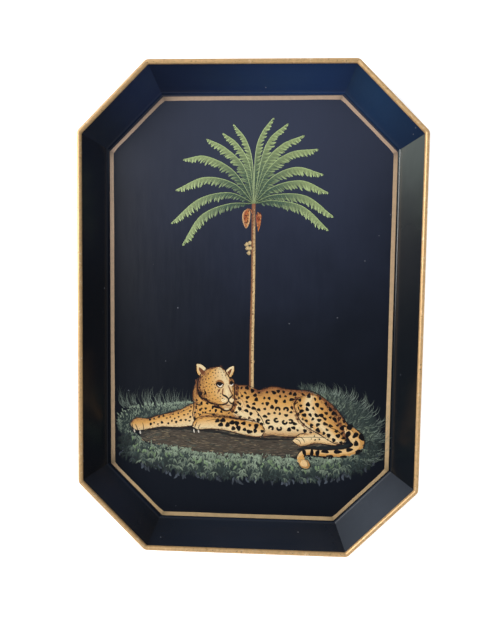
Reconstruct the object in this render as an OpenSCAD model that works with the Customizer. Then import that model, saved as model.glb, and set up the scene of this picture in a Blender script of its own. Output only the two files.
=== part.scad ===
// Eight-sided serving tray of painted sheet iron, with flared sides and a wired rim.
//
// A flat floor lies on the inturned laps of eight flange panels. The panels butt at mitred corners,
// and each corner is closed by a run of solder on the back. A strip, rolled to a split tube round a
// wire, is closed on each panel's upper edge, and the eight strips make the round rim.
//
// Frame: +Z up, +Y along the tray, +X across it. The origin is under the middle, on the resting face.
// Side 0 faces +X and the sides are counted counter-clockwise, seen from above.

/* [Overall size] */
// Length over the rim, along Y
tray_l = 500; // [400:10:640]
// Width over the rim, along X
tray_w = 350; // [280:10:460]
// Height from the resting face to the top of the rim
tray_h = 34; // [26:1:44]
// Leg of each cut-off corner, over the rim
corner_cut = 70; // [55:1:90]

/* [Floor and flange] */
// Thickness of the sheet iron
sheet_t = 0.7; // [0.5:0.05:1]
// Level distance from the outside of the rim in to the fold
flange_run = 21.6; // [18:0.2:28]
// Inside radius of the fold between lap and flange
fold_r = 3; // [2:0.5:5]
// How far each face of the sheet draws in at the fold
fold_thinning = 0.02; // [0.02:0.01:0.06]
// Width of the lap under the floor
lap_w = 10; // [6:1:16]
// Gap between the floor's edge and the start of the fold
floor_gap = 0.3; // [0.1:0.1:1]

/* [Rim] */
// Diameter of the wire in the rim
wire_d = 3.2; // [2.4:0.1:4]
// Thickness of the strip that is rolled round the wire
binding_t = 0.65; // [0.5:0.05:0.9]
// Bend radius of the wire's centreline at each corner, seen from above
rim_bend_r = 5; // [4:0.5:9]
// How much less the wire's radius is in a bend, where bending draws it thinner
wire_neck = 0.03; // [0.03:0.01:0.1]
// Gap between the wire and the rolled strip
wire_gap = 0.1; // [0.05:0.05:0.3]
// Gap between the strip's lips and each face of the flange
lip_gap = 0.05; // [0.02:0.01:0.1]
// Gap between the butted ends of the wire
butt_gap = 0.2; // [0.1:0.1:1]

/* [Solder] */
// Radius of the solder run on the back of each corner
corner_seam_r = 1.2; // [0.8:0.1:2]
// Width of the solder fillet along each lap's free edge
lap_seam_w = 1.2; // [0.6:0.1:2]
// Height that the lap fillet stops short of the resting face
lap_seam_lift = 0.15; // [0.05:0.05:0.3]

/* [Hidden] */
NODES = ["floor_panel", "rim_wire",
         "side_panel_right", "corner_panel_top_right",
         "end_panel_top", "corner_panel_top_left",
         "side_panel_left", "corner_panel_bottom_left",
         "end_panel_bottom", "corner_panel_bottom_right",
         "rim_binding_right", "rim_binding_top_right", "rim_binding_top", "rim_binding_top_left",
         "rim_binding_left", "rim_binding_bottom_left", "rim_binding_bottom", "rim_binding_bottom_right",
         "corner_seam_right_upper", "corner_seam_top_right",
         "corner_seam_top_left", "corner_seam_left_upper",
         "corner_seam_left_lower", "corner_seam_bottom_left",
         "corner_seam_bottom_right", "corner_seam_right_lower",
         "lap_seam_right", "lap_seam_top_right", "lap_seam_top", "lap_seam_top_left",
         "lap_seam_left", "lap_seam_bottom_left", "lap_seam_bottom", "lap_seam_bottom_right"];
node = "all";
$fn = 96;

LACQUER = "#1c2130";
GILT = "#c99a4e";
IRON = "#8c8f94";
SIDES = 8;
TURN = 360 / SIDES;              // angle between neighbouring sides
MITRE = tan(TURN / 2);           // how much a side shortens for each millimetre of inset
FIRST_PANEL = 2;                 // places in NODES of each group of eight
FIRST_BINDING = FIRST_PANEL + SIDES;
FIRST_CORNER_SEAM = FIRST_BINDING + SIDES;
FIRST_LAP_SEAM = FIRST_CORNER_SEAM + SIDES;
BEYOND = 2 * tray_l;             // longer than anything in the tray
CUT = 0.1;                       // overshoot of a cutting solid
BEND_LAP = 3;                    // angle by which a fold or a wire's bend runs into what it joins

bead_r = wire_d / 2 + wire_gap + binding_t;
wire_z = tray_h - bead_r;

// The flange's middle plane is tangent to the fold's middle radius and runs through the wire's centre.
fold_z = sheet_t + fold_r;                       // height of the fold's centre
mid_r = fold_r + sheet_t / 2;
wire_run = flange_run - bead_r;                  // from the fold's centre out to the wire
wire_rise = wire_z - fold_z;
slope_to_wire = sqrt(pow(wire_run, 2) + pow(wire_rise, 2) - pow(mid_r, 2));
flange_a = atan2(wire_rise, wire_run) + atan2(mid_r, slope_to_wire);
slope_l = slope_to_wire - wire_d / 2 - wire_gap / 2;

// A corner's bend: how far it reaches along each side that it joins, and its centre's inset.
bend_reach = rim_bend_r * MITRE;
bend_centre = bead_r + rim_bend_r;

// Half the outside length of a side: the right and left sides, the corners, the ends.
function half_side(i) =
    i % 2 == 1 ? corner_cut / sqrt(2)
    : i % 4 == 0 ? tray_l / 2 - corner_cut
    : tray_w / 2 - corner_cut;

// Middle of a side on the tray's outside line.
function side_middle(i) =
    let (a = i * TURN, x = tray_w / 2, y = tray_l / 2, c = corner_cut / 2)
    i % 2 == 1 ? [sign(cos(a)) * (x - c), sign(sin(a)) * (y - c), 0]
    : [cos(a) * x, sin(a) * y, 0];

// Corners of the tray's outline, drawn in by an inset.
function outline(inset) = [
    for (i = [0 : SIDES - 1], end = [-1, 1])
        let (a = i * TURN, h = half_side(i) - inset * MITRE, m = side_middle(i))
        [m.x - inset * cos(a) - end * h * sin(a), m.y - inset * sin(a) + end * h * cos(a)]
];

// Puts a shape at side i: X points out of the tray, Y runs along the side, and X = 0 is the rim's outside.
module at_side(i) translate(side_middle(i)) rotate(i * TURN) children();

// Extrudes a section, drawn as outward distance and height, along a side.
module along_side(length) rotate([90, 0, 0]) linear_extrude(length, center = true) children();

// The space that belongs to side i between the two mitre planes.
module side_bay(i, depth) {
    h = half_side(i);
    translate([0, 0, -CUT])
        linear_extrude(tray_h + 2 * CUT)
            polygon([[0, -h], [0, h], [-depth, h - depth * MITRE], [-depth, -h + depth * MITRE]]);
}

// Section of a flange panel: lap, fold and slope. The fold is drawn thinner than the sheet, and it runs
// into the lap and the slope.
module flange_section() {
    back_r = fold_r + sheet_t;
    far = 4 * back_r;
    translate([-flange_run - lap_w, 0]) square([lap_w, sheet_t]);
    translate([-flange_run, fold_z]) {
        intersection() {
            difference() {
                circle(back_r - fold_thinning);
                circle(fold_r + fold_thinning);
            }
            rotate(-BEND_LAP) translate([0, -far / 2]) square(far);
            rotate(flange_a + BEND_LAP) translate([-far, -far / 2]) square(far);
        }
        rotate(flange_a) translate([0, -back_r]) square([slope_l, sheet_t]);
    }
}

// Puts a shape on a side's slope: X runs up the slope from the fold, Z points in from the back face.
module on_slope() translate([-flange_run, 0, fold_z]) rotate([0, -flange_a, 0])
    translate([0, 0, -fold_r - sheet_t]) children();

// Takes the upper corners of a panel out of the rim's bends.
module bend_notches(i) {
    straight = rim_run(i) / 2;
    for (end = [0, 1]) mirror([0, end, 0]) on_slope()
        translate([slope_to_wire - bead_r - lip_gap, straight, -CUT])
            cube([2 * bead_r, BEYOND, sheet_t + 2 * CUT]);
}

module flange_panel(i) color(LACQUER) at_side(i) difference() {
    intersection() {
        along_side(2 * half_side(i)) flange_section();
        side_bay(i, flange_run + lap_w);
    }
    bend_notches(i);
}

module floor_panel() color(LACQUER)
    translate([0, 0, sheet_t]) linear_extrude(sheet_t) polygon(outline(flange_run + floor_gap));

// Length of the rim's straight run on a side.
function rim_run(i) = 2 * (half_side(i) - bead_r * MITRE - bend_reach);

// The wire: a straight run on each side and a bend after it, which laps into both runs. Its ends butt in
// the middle of the bottom end.
module rim_wire() color(IRON) difference() {
    translate([0, 0, wire_z]) for (i = [0 : SIDES - 1]) at_side(i) {
        along_side(rim_run(i)) translate([-bead_r, 0]) circle(wire_d / 2);
        translate([-bend_centre, rim_run(i) / 2, 0]) rotate(-BEND_LAP)
            rotate_extrude(angle = TURN + 2 * BEND_LAP)
                translate([rim_bend_r, 0]) circle(wire_d / 2 - wire_neck);
    }
    translate([-butt_gap / 2, -tray_l / 2 - CUT, 0]) cube([butt_gap, 2 * bead_r + 2 * CUT, tray_h]);
}

// A split tube whose slot faces down the flange's slope.
module binding_section() translate([-bead_r, 0]) difference() {
    circle(bead_r);
    circle(bead_r - binding_t);
    rotate(flange_a) translate([-2 * bead_r, -sheet_t / 2 - lip_gap])
        square([2 * bead_r, sheet_t + 2 * lip_gap]);
}

// One strip of the binding. It goes half way round the bend at each end and butts on the next strip there.
module rim_binding(i) color(GILT) translate([0, 0, wire_z]) at_side(i)
    for (end = [0, 1]) mirror([0, end, 0]) translate([0, rim_run(i) / 2, 0]) {
        rotate([90, 0, 0]) linear_extrude(rim_run(i) / 2) binding_section();
        translate([-bend_centre, 0, 0])
            rotate_extrude(angle = TURN / 2) translate([bend_centre, 0]) binding_section();
    }

// Everything on the tray's side of the back face of a flange.
module before_back_face() on_slope()
    translate([-BEYOND / 2, -BEYOND / 2, 0]) cube([BEYOND, BEYOND, BEYOND]);

// Solder on the ridge where the backs of side i and the next side meet.
module corner_seam(i) {
    top = slope_to_wire - bead_r - corner_seam_r;
    run = top * cos(flange_a);
    rise = top * sin(flange_a);
    back_r = fold_r + sheet_t;
    inset = flange_run - back_r * sin(flange_a);
    along_mitre = 1 / cos(TURN / 2);
    color(LACQUER) difference() {
        at_side(i) translate([0, half_side(i), 0]) rotate(TURN / 2)
            translate([-inset * along_mitre, 0, fold_z - back_r * cos(flange_a)])
                rotate([0, atan2(run * along_mitre, rise), 0])
                    cylinder(r = corner_seam_r, h = norm([run * along_mitre, rise]));
        intersection() {
            at_side(i) before_back_face();
            at_side(i + 1) before_back_face();
        }
    }
}

// Solder fillet between the free edge of a lap and the underside of the floor.
module lap_seam(i) color(LACQUER) at_side(i) intersection() {
    along_side(2 * half_side(i)) translate([-flange_run - lap_w, 0])
        polygon([[0, sheet_t], [0, lap_seam_lift], [-lap_seam_w, sheet_t]]);
    side_bay(i, flange_run + lap_w + lap_seam_w);
}

function wanted(name) = node == "all" || node == name;

if (wanted("floor_panel")) floor_panel();
if (wanted("rim_wire")) rim_wire();
for (i = [0 : SIDES - 1]) {
    if (wanted(NODES[FIRST_PANEL + i])) flange_panel(i);
    if (wanted(NODES[FIRST_BINDING + i])) rim_binding(i);
    if (wanted(NODES[FIRST_CORNER_SEAM + i])) corner_seam(i);
    if (wanted(NODES[FIRST_LAP_SEAM + i])) lap_seam(i);
}
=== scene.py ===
"""Eight-sided lacquered serving tray: finishes, the painted scene on its floor, and a plain studio."""

import bpy
import numpy as np
from bpy.props import FloatProperty, FloatVectorProperty, IntProperty, PointerProperty
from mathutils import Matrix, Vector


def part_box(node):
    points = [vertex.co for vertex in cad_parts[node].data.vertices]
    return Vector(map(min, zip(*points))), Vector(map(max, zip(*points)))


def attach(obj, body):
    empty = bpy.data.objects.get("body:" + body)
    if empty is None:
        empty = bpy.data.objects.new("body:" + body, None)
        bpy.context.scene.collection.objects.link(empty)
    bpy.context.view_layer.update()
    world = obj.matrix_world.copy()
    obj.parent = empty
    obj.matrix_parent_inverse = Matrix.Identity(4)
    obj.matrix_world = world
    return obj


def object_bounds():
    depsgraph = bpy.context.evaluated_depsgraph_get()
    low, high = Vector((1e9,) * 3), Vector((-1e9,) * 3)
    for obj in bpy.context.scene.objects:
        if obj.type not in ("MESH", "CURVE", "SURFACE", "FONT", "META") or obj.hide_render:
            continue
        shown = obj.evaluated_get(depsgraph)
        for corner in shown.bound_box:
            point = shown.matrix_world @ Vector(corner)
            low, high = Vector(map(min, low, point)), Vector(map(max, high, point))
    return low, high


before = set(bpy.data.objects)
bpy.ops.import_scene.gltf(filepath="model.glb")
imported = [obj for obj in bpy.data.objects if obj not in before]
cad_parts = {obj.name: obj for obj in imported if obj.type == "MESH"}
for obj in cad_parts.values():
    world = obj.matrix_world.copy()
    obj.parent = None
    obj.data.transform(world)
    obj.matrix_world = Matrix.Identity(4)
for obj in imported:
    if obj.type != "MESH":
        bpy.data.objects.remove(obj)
CAD_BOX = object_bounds()

bl_info = {
    "name": "Painted Serving Tray",
    "version": (1, 0, 0),
    "blender": (4, 5, 0),
    "location": "View3D > Sidebar > Tray",
    "description": "Lacquers, gilds and paints an eight-sided serving tray",
    "category": "Add Mesh",
}

# ---------------------------------------------------------------- sizes and places

MM = 0.001
BODY = "root"
SIDES = ("right", "top_right", "top", "top_left", "left", "bottom_left", "bottom", "bottom_right")
SEAMS = ("right_upper", "top_right", "top_left", "left_upper",
         "left_lower", "bottom_left", "bottom_right", "right_lower")
SUNK = 0.02              # mm that the underside of the paint lies in the lacquer
UNDERCOAT = 0.03         # mm, height of the dark paint under the ground and the grass
FLOOR_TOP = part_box("floor_panel")[1].z / MM


def floor_outline():
    """Half width, half length and corner cut of the floor sheet, in mm, read from its own mesh."""
    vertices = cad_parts["floor_panel"].data.vertices
    at = np.array([v.co for v in vertices]) / MM
    half_width, half_length = at[:, 0].max(), at[:, 1].max()
    straight = at[at[:, 0] > half_width - 0.05, 1].max()
    return half_width, half_length, half_length - straight


def linear(code):
    """Scene-linear red, green and blue of a six-digit colour code, by the sRGB curve."""
    value = np.array([int(code[i:i + 2], 16) for i in (1, 3, 5)]) / 255
    return tuple(np.where(value <= 0.04045, value / 12.92, ((value + 0.055) / 1.055) ** 2.4))


def length(name, description, millimetres):
    """A length property whose default is given in millimetres."""
    return FloatProperty(name=name, description=description, default=millimetres * MM,
                         min=0, precision=5, unit="LENGTH", subtype="DISTANCE")


def tint(name, description, code):
    """A colour property whose default is given as a colour code."""
    return FloatVectorProperty(name=name, description=description, default=linear(code),
                               size=3, min=0, max=1, subtype="COLOR")


class TraySizes(bpy.types.PropertyGroup):
    """Sizes of the painted work."""
    stripe_inset: length("Stripe inset", "From the floor's edge to the pinstripe", 0.4)
    stripe_width: length("Stripe width", "Width of the pinstripe", 4.5)
    stripe_height: length("Stripe height", "Thickness of the pinstripe's paint", 0.06)
    frond_width: length("Frond width", "Width of a palm frond at its middle", 8.0)
    rib_width: length("Rib width", "Width of the pale rib along a frond", 0.9)
    line_width: length("Line width", "Width of the dark outline round the cat", 0.95)
    leaflets: IntProperty(name="Leaflets", description="Leaflets on each frond", default=20, min=8)
    clumps: IntProperty(name="Clumps", description="Leaf clumps along one row of the front grass",
                        default=42, min=10)


class TrayColours(bpy.types.PropertyGroup):
    """Colours of the lacquer, the gilding and the painted scene."""
    lacquer: tint("Lacquer", "Blue-black lacquer", "#0f131b")
    gold: tint("Gold", "Gilding on the rim", "#e5bc85")
    stripe: tint("Stripe", "Bronze paint of the pinstripe", "#cfb196")
    leaf_light: tint("Light leaf", "Sunlit palm leaf", "#9cae77")
    leaf_dark: tint("Dark leaf", "Palm leaf near the crown", "#435b4c")
    bark_light: tint("Light bark", "Lit side of the trunk", "#e6c48d")
    bark_dark: tint("Dark bark", "Shaded side of the trunk", "#8a5a35")
    coat: tint("Coat", "The cat's coat", "#dba457")
    cream: tint("Cream", "The cat's belly and cheeks", "#f4dcab")
    rust: tint("Rust", "Shaded coat along the back", "#8a5230")
    spot: tint("Spot", "The cat's spots", "#0e0b0b")
    line: tint("Line", "Outline of the cat", "#20120c")
    grass_light: tint("Light grass", "Lit grass", "#99ab92")
    grass_dark: tint("Dark grass", "Grass in shade", "#384845")
    grass_far: tint("Far grass", "Bluish tufts at the edge of the grass", "#4e5762")
    earth: tint("Earth", "Bare ground under the cat", "#544a3d")


# ---------------------------------------------------------------- curves

def spline(points, count):
    """Catmull-Rom curve through the points, as `count` points at even steps of arc length."""
    p = np.asarray(points, float)
    p = np.vstack([2 * p[:1] - p[1:2], p, 2 * p[-1:] - p[-2:-1]])
    spans = len(p) - 3
    u = np.linspace(0, spans, 24 * spans + 1)
    i = np.minimum(u.astype(int), spans - 1)
    t = (u - i)[:, None]
    a, b, c, d = p[i], p[i + 1], p[i + 2], p[i + 3]
    q = 0.5 * (2 * b + (c - a) * t + (2 * a - 5 * b + 4 * c - d) * t ** 2
               + (3 * b - a - 3 * c + d) * t ** 3)
    run = np.r_[0, np.cumsum(np.linalg.norm(np.diff(q, axis=0), axis=1))]
    at = np.linspace(0, run[-1], count)
    return np.column_stack([np.interp(at, run, q[:, 0]), np.interp(at, run, q[:, 1])])


def arcs(start, middle, end, rings):
    """Quadratic curves from start through middle to end: (K, 2) each gives (K, rings, 2)."""
    u = np.linspace(0, 1, rings)[None, :, None]
    a, m, b = (np.atleast_2d(p)[:, None, :] for p in (start, middle, end))
    control = 2 * m - 0.5 * (a + b)
    return (1 - u) ** 2 * a + 2 * u * (1 - u) * control + u ** 2 * b


def across(paths):
    """Unit vectors square to the paths, on their left, in the plane of the floor."""
    way = np.gradient(paths, axis=-2)
    way /= np.maximum(np.linalg.norm(way, axis=-1, keepdims=True), 1e-9)
    return np.stack([-way[..., 1], way[..., 0]], -1)


def headed(angle):
    """Unit vectors at these angles, in degrees from the tray's +X."""
    turn = np.radians(angle)
    return np.stack([np.cos(turn), np.sin(turn)], -1)


def bearing(ways):
    """Angles of vectors on the floor, in degrees from the tray's +X."""
    return np.degrees(np.arctan2(ways[..., 1], ways[..., 0]))


def tones_of(colours, *names):
    """These colours of the settings, as arrays."""
    return [np.array(getattr(colours, name)) for name in names]


def stops(t, *pairs):
    """Colours along t, mixed evenly between (place, colour) pairs."""
    places = [place for place, _ in pairs]
    return np.stack([np.interp(t, places, [c[k] for _, c in pairs]) for k in range(3)], -1)


def shade(colours, amount):
    """The colours made lighter (amount over 1) or darker."""
    return np.clip(np.asarray(colours) * np.asarray(amount)[..., None], 0, 1)


# ---------------------------------------------------------------- brushwork as closed meshes

CREST_INSET = 0.3        # how far in the crest of a stroke begins, in shares of its first step
SHOULDER = 0.86          # radius of the top of a dab, in shares of the whole
SHOULDER_DROP = 0.006    # mm that the edge of a dab's top lies under its middle


class Brushwork:
    """Closed strokes, dabs and patches of paint that go into one mesh, in the order of painting."""

    def __init__(self):
        self.points = []
        self.colours = []
        self.faces = []
        self.count = 0

    def add(self, points, colours, faces):
        """Take one batch: points (N, 3) in mm above the floor, colours (N, 3) and arrays of faces."""
        self.points.append(np.asarray(points, float).reshape(-1, 3))
        self.colours.append(np.asarray(colours, float).reshape(-1, 3))
        self.faces += [np.asarray(f) + self.count for f in faces]
        self.count += len(self.points[-1])

    def lay(self, paths, widths, low, high, colours, edge=0.72):
        """Strokes with a ridge: each ring is left edge, crest, right edge, and the ends are triangles.

        paths (K, R, 2), widths (K, R) half widths, low and high (K,) heights, colours (K, R, 3).
        The lowest stroke comes first, so that a higher one is painted over it.
        """
        paths = np.asarray(paths, float)
        strokes, rings = paths.shape[:2]
        widths = np.broadcast_to(widths, (strokes, rings))
        low, high = (np.broadcast_to(h, (strokes,)) for h in (low, high))
        colours = np.broadcast_to(colours, (strokes, rings, 3))
        order = np.argsort(high, kind="stable")
        paths, widths, low, high, colours = (a[order] for a in (paths, widths, low, high, colours))
        side = across(paths) * widths[..., None]
        crest = paths.copy()
        crest[:, 0] += CREST_INSET * (paths[:, 1] - paths[:, 0])
        crest[:, -1] += CREST_INSET * (paths[:, -2] - paths[:, -1])
        ring = np.stack([paths + side, crest, paths - side], 2)
        height = np.broadcast_to(np.stack([low, high, low], -1)[:, None, :, None],
                                 (strokes, rings, 3, 1))
        tone = np.stack([colours * edge, colours, colours * edge], 2)
        base = (np.arange(strokes) * rings * 3)[:, None, None]
        k, j = np.arange(rings - 1)[None, :, None] * 3, np.arange(3)[None, None, :]
        j2 = (j + 1) % 3
        quads = np.stack([base + k + j, base + k + j2, base + k + 3 + j2, base + k + 3 + j], -1)
        last = base[:, 0] + (rings - 1) * 3
        caps = np.vstack([base[:, 0] + [0, 2, 1], last + [0, 1, 2]])
        self.add(np.concatenate([ring, height], -1), tone,
                 [quads[:, :, 2].reshape(-1, 4), quads[:, :, :2].reshape(-1, 4), caps])

    def dabs(self, centres, radii, low, high, colours, stretch=1.0, turn=0.0, lobes=0.12, around=12):
        """Low domes with a wavy edge: r = r0 (1 + lobes cos 3a), drawn out by `stretch` along `turn`."""
        centres = np.atleast_2d(centres)
        number = len(centres)
        radii, stretch, turn, high = (np.broadcast_to(v, (number,))[:, None]
                                      for v in (radii, stretch, turn, high))
        order = np.argsort(high[:, 0], kind="stable")
        centres, radii, stretch, turn, high = (v[order] for v in (centres, radii, stretch, turn, high))
        colours = np.broadcast_to(colours, (number, 3))[order]
        a = np.linspace(0, 2 * np.pi, around, endpoint=False)[None]
        phase = centres.sum(1)[:, None] * 1.7
        r = radii * (1 + lobes * np.cos(3 * a + phase) + 0.6 * lobes * np.cos(2 * a - phase))
        x, y = r * np.cos(a) * np.sqrt(stretch), r * np.sin(a) / np.sqrt(stretch)
        c, s = np.cos(np.radians(turn)), np.sin(np.radians(turn))
        rim = np.stack([x * c - y * s, x * s + y * c], -1)
        middle = centres[:, None]
        flat = np.concatenate([middle, middle + SHOULDER * rim, middle + rim], 1)
        tall = np.concatenate([high, np.broadcast_to(high - SHOULDER_DROP, (number, around)),
                               np.full((number, around), low)], 1)
        tone = np.broadcast_to(colours[:, None], (number, 2 * around + 1, 3))
        base = (np.arange(number) * (2 * around + 1))[:, None]
        i = np.arange(around)[None]
        n = (i + 1) % around
        fan = np.stack([base + 0 * i, base + 1 + i, base + 1 + n], -1)
        skirt = np.stack([base + 1 + around + i, base + 1 + around + n, base + 1 + n, base + 1 + i], -1)
        under = base + 1 + around + i[:, ::-1]
        self.add(np.concatenate([flat, tall[..., None]], -1), tone,
                 [under, skirt.reshape(-1, 4), fan.reshape(-1, 3)])

    def fill(self, patch, low, high, tone, columns=14):
        """A patch between two borders: height low + (high - low) (1 - (2t - 1)^6), low at both ends."""
        s = np.linspace(0, 1, patch.rows)[1:-1, None]
        t = np.linspace(0, 1, columns)[None]
        flat = patch.at(s, t)
        plateau = (1 - (2 * t - 1) ** 6) * (1 - (2 * s - 1) ** 12)
        grid = np.concatenate([flat, (low + (high - low) * plateau)[..., None]], -1)
        ends = np.array([[*patch.upper[0], low], [*patch.upper[-1], low]])
        s_all, t_all = np.broadcast_arrays(s, t)
        end_colours = tone(np.array([0., 1.]), np.array([0.5, 0.5]))
        colours = np.vstack([tone(s_all, t_all).reshape(-1, 3), end_colours])
        rows = len(s)
        i, j = np.arange(rows - 1)[:, None] * columns, np.arange(columns - 1)[None]
        top = np.stack([i + j, i + j + 1, i + j + columns + 1, i + j + columns], -1).reshape(-1, 4)
        first, final = rows * columns, rows * columns + 1
        j, far = j[0], (rows - 1) * columns
        tips = np.vstack([np.stack([first + 0 * j, j + 1, j], -1)[:, [0, 2, 1]],
                          np.stack([far + j, far + j + 1, final + 0 * j], -1)])
        i = i[:, 0]
        under = np.stack([i, i + columns, i + 2 * columns - 1, i + columns - 1], -1)
        under_tips = np.array([[first, 0, columns - 1], [final, far + columns - 1, far]])
        faces = [under, under_tips, top, tips]
        if patch.anticlockwise:
            faces = [f[:, ::-1] for f in faces]
        self.add(np.vstack([grid.reshape(-1, 3), ends]), colours, faces)

    def piece(self, name, material):
        """Make the mesh object, with its paint colours and a plan-view map, and set it on the tray."""
        points = np.vstack(self.points)
        points[:, 2] += FLOOR_TOP
        mesh = bpy.data.meshes.new(name)
        mesh.from_pydata((points * MM).tolist(), [], [row for f in self.faces for row in f.tolist()])
        colours = np.column_stack([np.vstack(self.colours), np.ones(len(points))])
        mesh.attributes.new("paint", "FLOAT_COLOR", "POINT").data.foreach_set(
            "color", colours.astype(np.float32).ravel())
        lowest, highest = points[:, :2].min(0), points[:, :2].max(0)
        plan = (points[:, :2] - lowest) / (highest - lowest) * 0.98 + 0.01
        corners = np.empty(len(mesh.loops), np.int32)
        mesh.loops.foreach_get("vertex_index", corners)
        mesh.uv_layers.new(name="OFBake").data.foreach_set("uv", plan[corners].astype(np.float32).ravel())
        mesh.materials.append(material)
        made = bpy.data.objects.new(name, mesh)
        bpy.context.scene.collection.objects.link(made)
        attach(made, BODY)
        return made


class Patch:
    """The area between an upper and a lower border that meet at both ends, s along and t across."""

    def __init__(self, upper, lower, rows=60):
        self.rows = rows
        self.upper, self.lower = spline(upper, rows), spline(lower, rows)
        self.lower[0], self.lower[-1] = self.upper[0], self.upper[-1]
        loop = np.vstack([self.upper, self.lower[::-1]])
        x, y = loop.T
        self.anticlockwise = np.sum(x * np.roll(y, -1) - y * np.roll(x, -1)) > 0

    def at(self, s, t):
        """Points at s along and t across."""
        s, t = np.broadcast_arrays(np.asarray(s, float), np.asarray(t, float))
        place = np.linspace(0, 1, self.rows)
        pick = [np.stack([np.interp(s, place, b[:, k]) for k in (0, 1)], -1)
                for b in (self.upper, self.lower)]
        return pick[0] * (1 - t[..., None]) + pick[1] * t[..., None]

    def heading(self, s, t):
        """Angle of the patch's run at s and t, in degrees."""
        step = self.at(np.minimum(s + 0.02, 1), t) - self.at(np.maximum(s - 0.02, 0), t)
        return bearing(step)


def scatter(patch, random, gap, along, over, tries=2500):
    """Places (s, t) strewn over part of a patch, none nearer to another than the gap in mm."""
    s, t = random.uniform(*along, tries), random.uniform(*over, tries)
    at = patch.at(s, t)
    kept = []
    for k in range(tries):    # each choice depends on those before it
        if not kept or np.linalg.norm(at[kept] - at[k], axis=1).min() > gap:
            kept.append(k)
    return s[kept], t[kept]


# Shapes of a stroke: its share of the full width at five even places from the root to the tip.
LEAF = np.array([0.35, 0.85, 1.0, 0.7, 0.15])
BLADE = np.array([0.9, 1.0, 0.8, 0.5, 0.12])
COMMA = np.array([0.2, 0.9, 1.0, 0.7, 0.2])
LEAFLET = np.array([0.5, 0.9, 1.0, 0.85, 0.3])


def curved(start, angle, reach, bend):
    """Middle and end of strokes that leave `start` at `angle`, `reach` long, bowed by bend x reach."""
    way = headed(angle)
    left = np.stack([-way[..., 1], way[..., 0]], -1)
    end = start + way * np.asarray(reach)[..., None]
    middle = (start + end) / 2 + left * (np.asarray(bend) * np.asarray(reach))[..., None]
    return middle, end


def sprinkle(brush, start, angle, reach, bend, width, low, high, colours, shape=LEAF, tip=1.0):
    """Many short strokes at once, each a quadratic curve with the given taper; the tip's tone is scaled."""
    middle, end = curved(start, angle, reach, bend)
    rings = len(shape)
    tone = np.asarray(colours)[:, None] * np.linspace(1, tip, rings)[None, :, None]
    half = np.broadcast_to(width, (len(start),))[:, None] * shape[None] / 2
    brush.lay(arcs(start, middle, end, rings), half, low, high, np.clip(tone, 0, 1))


def drawn(random, number, value):
    """A (low, high) pair becomes that many random draws between the two; anything else stays as it is."""
    return random.uniform(*value, number) if isinstance(value, tuple) else value


def mottled(random, number, colour, limits):
    """That many copies of a colour, each made lighter or darker by its own draw between the limits."""
    return shade(np.broadcast_to(colour, (number, 3)), random.uniform(*limits, number))


def strew(brush, random, start, angle, reach, bend, width, high, colours, shape=COMMA, tip=1.0,
          about=0.0, above=0.0, low=-SUNK, dapple=None):
    """Sprinkled strokes whose measures are drawn at random, in the order of the arguments.

    Angle, reach, bend, width and high are each a value, or a (low, high) pair to draw from. About and
    above are added to the angle and the height. With dapple, another pair, each stroke has its own tone.
    """
    number = len(start)
    angle = about + drawn(random, number, angle)
    reach, bend, width = (drawn(random, number, value) for value in (reach, bend, width))
    high = above + drawn(random, number, high)
    if dapple:
        colours = mottled(random, number, colours, dapple)
    sprinkle(brush, start, angle, reach, bend, width, low, high, colours, shape, tip)


def line(brush, points, width, high, colour, count=None, taper=0.35, low=-SUNK):
    """One drawn line through the points: full width along the middle, `taper` of it at the ends."""
    count = count or 8 * len(points)
    path = spline(points, count)
    u = np.linspace(0, 1, count)
    half = width / 2 * (taper + (1 - taper) * np.sin(np.pi * u) ** 0.5)
    brush.lay(path[None], half[None], low, high, np.broadcast_to(colour, (1, count, 3)), edge=0.9)


# ---------------------------------------------------------------- shader nodes

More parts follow.
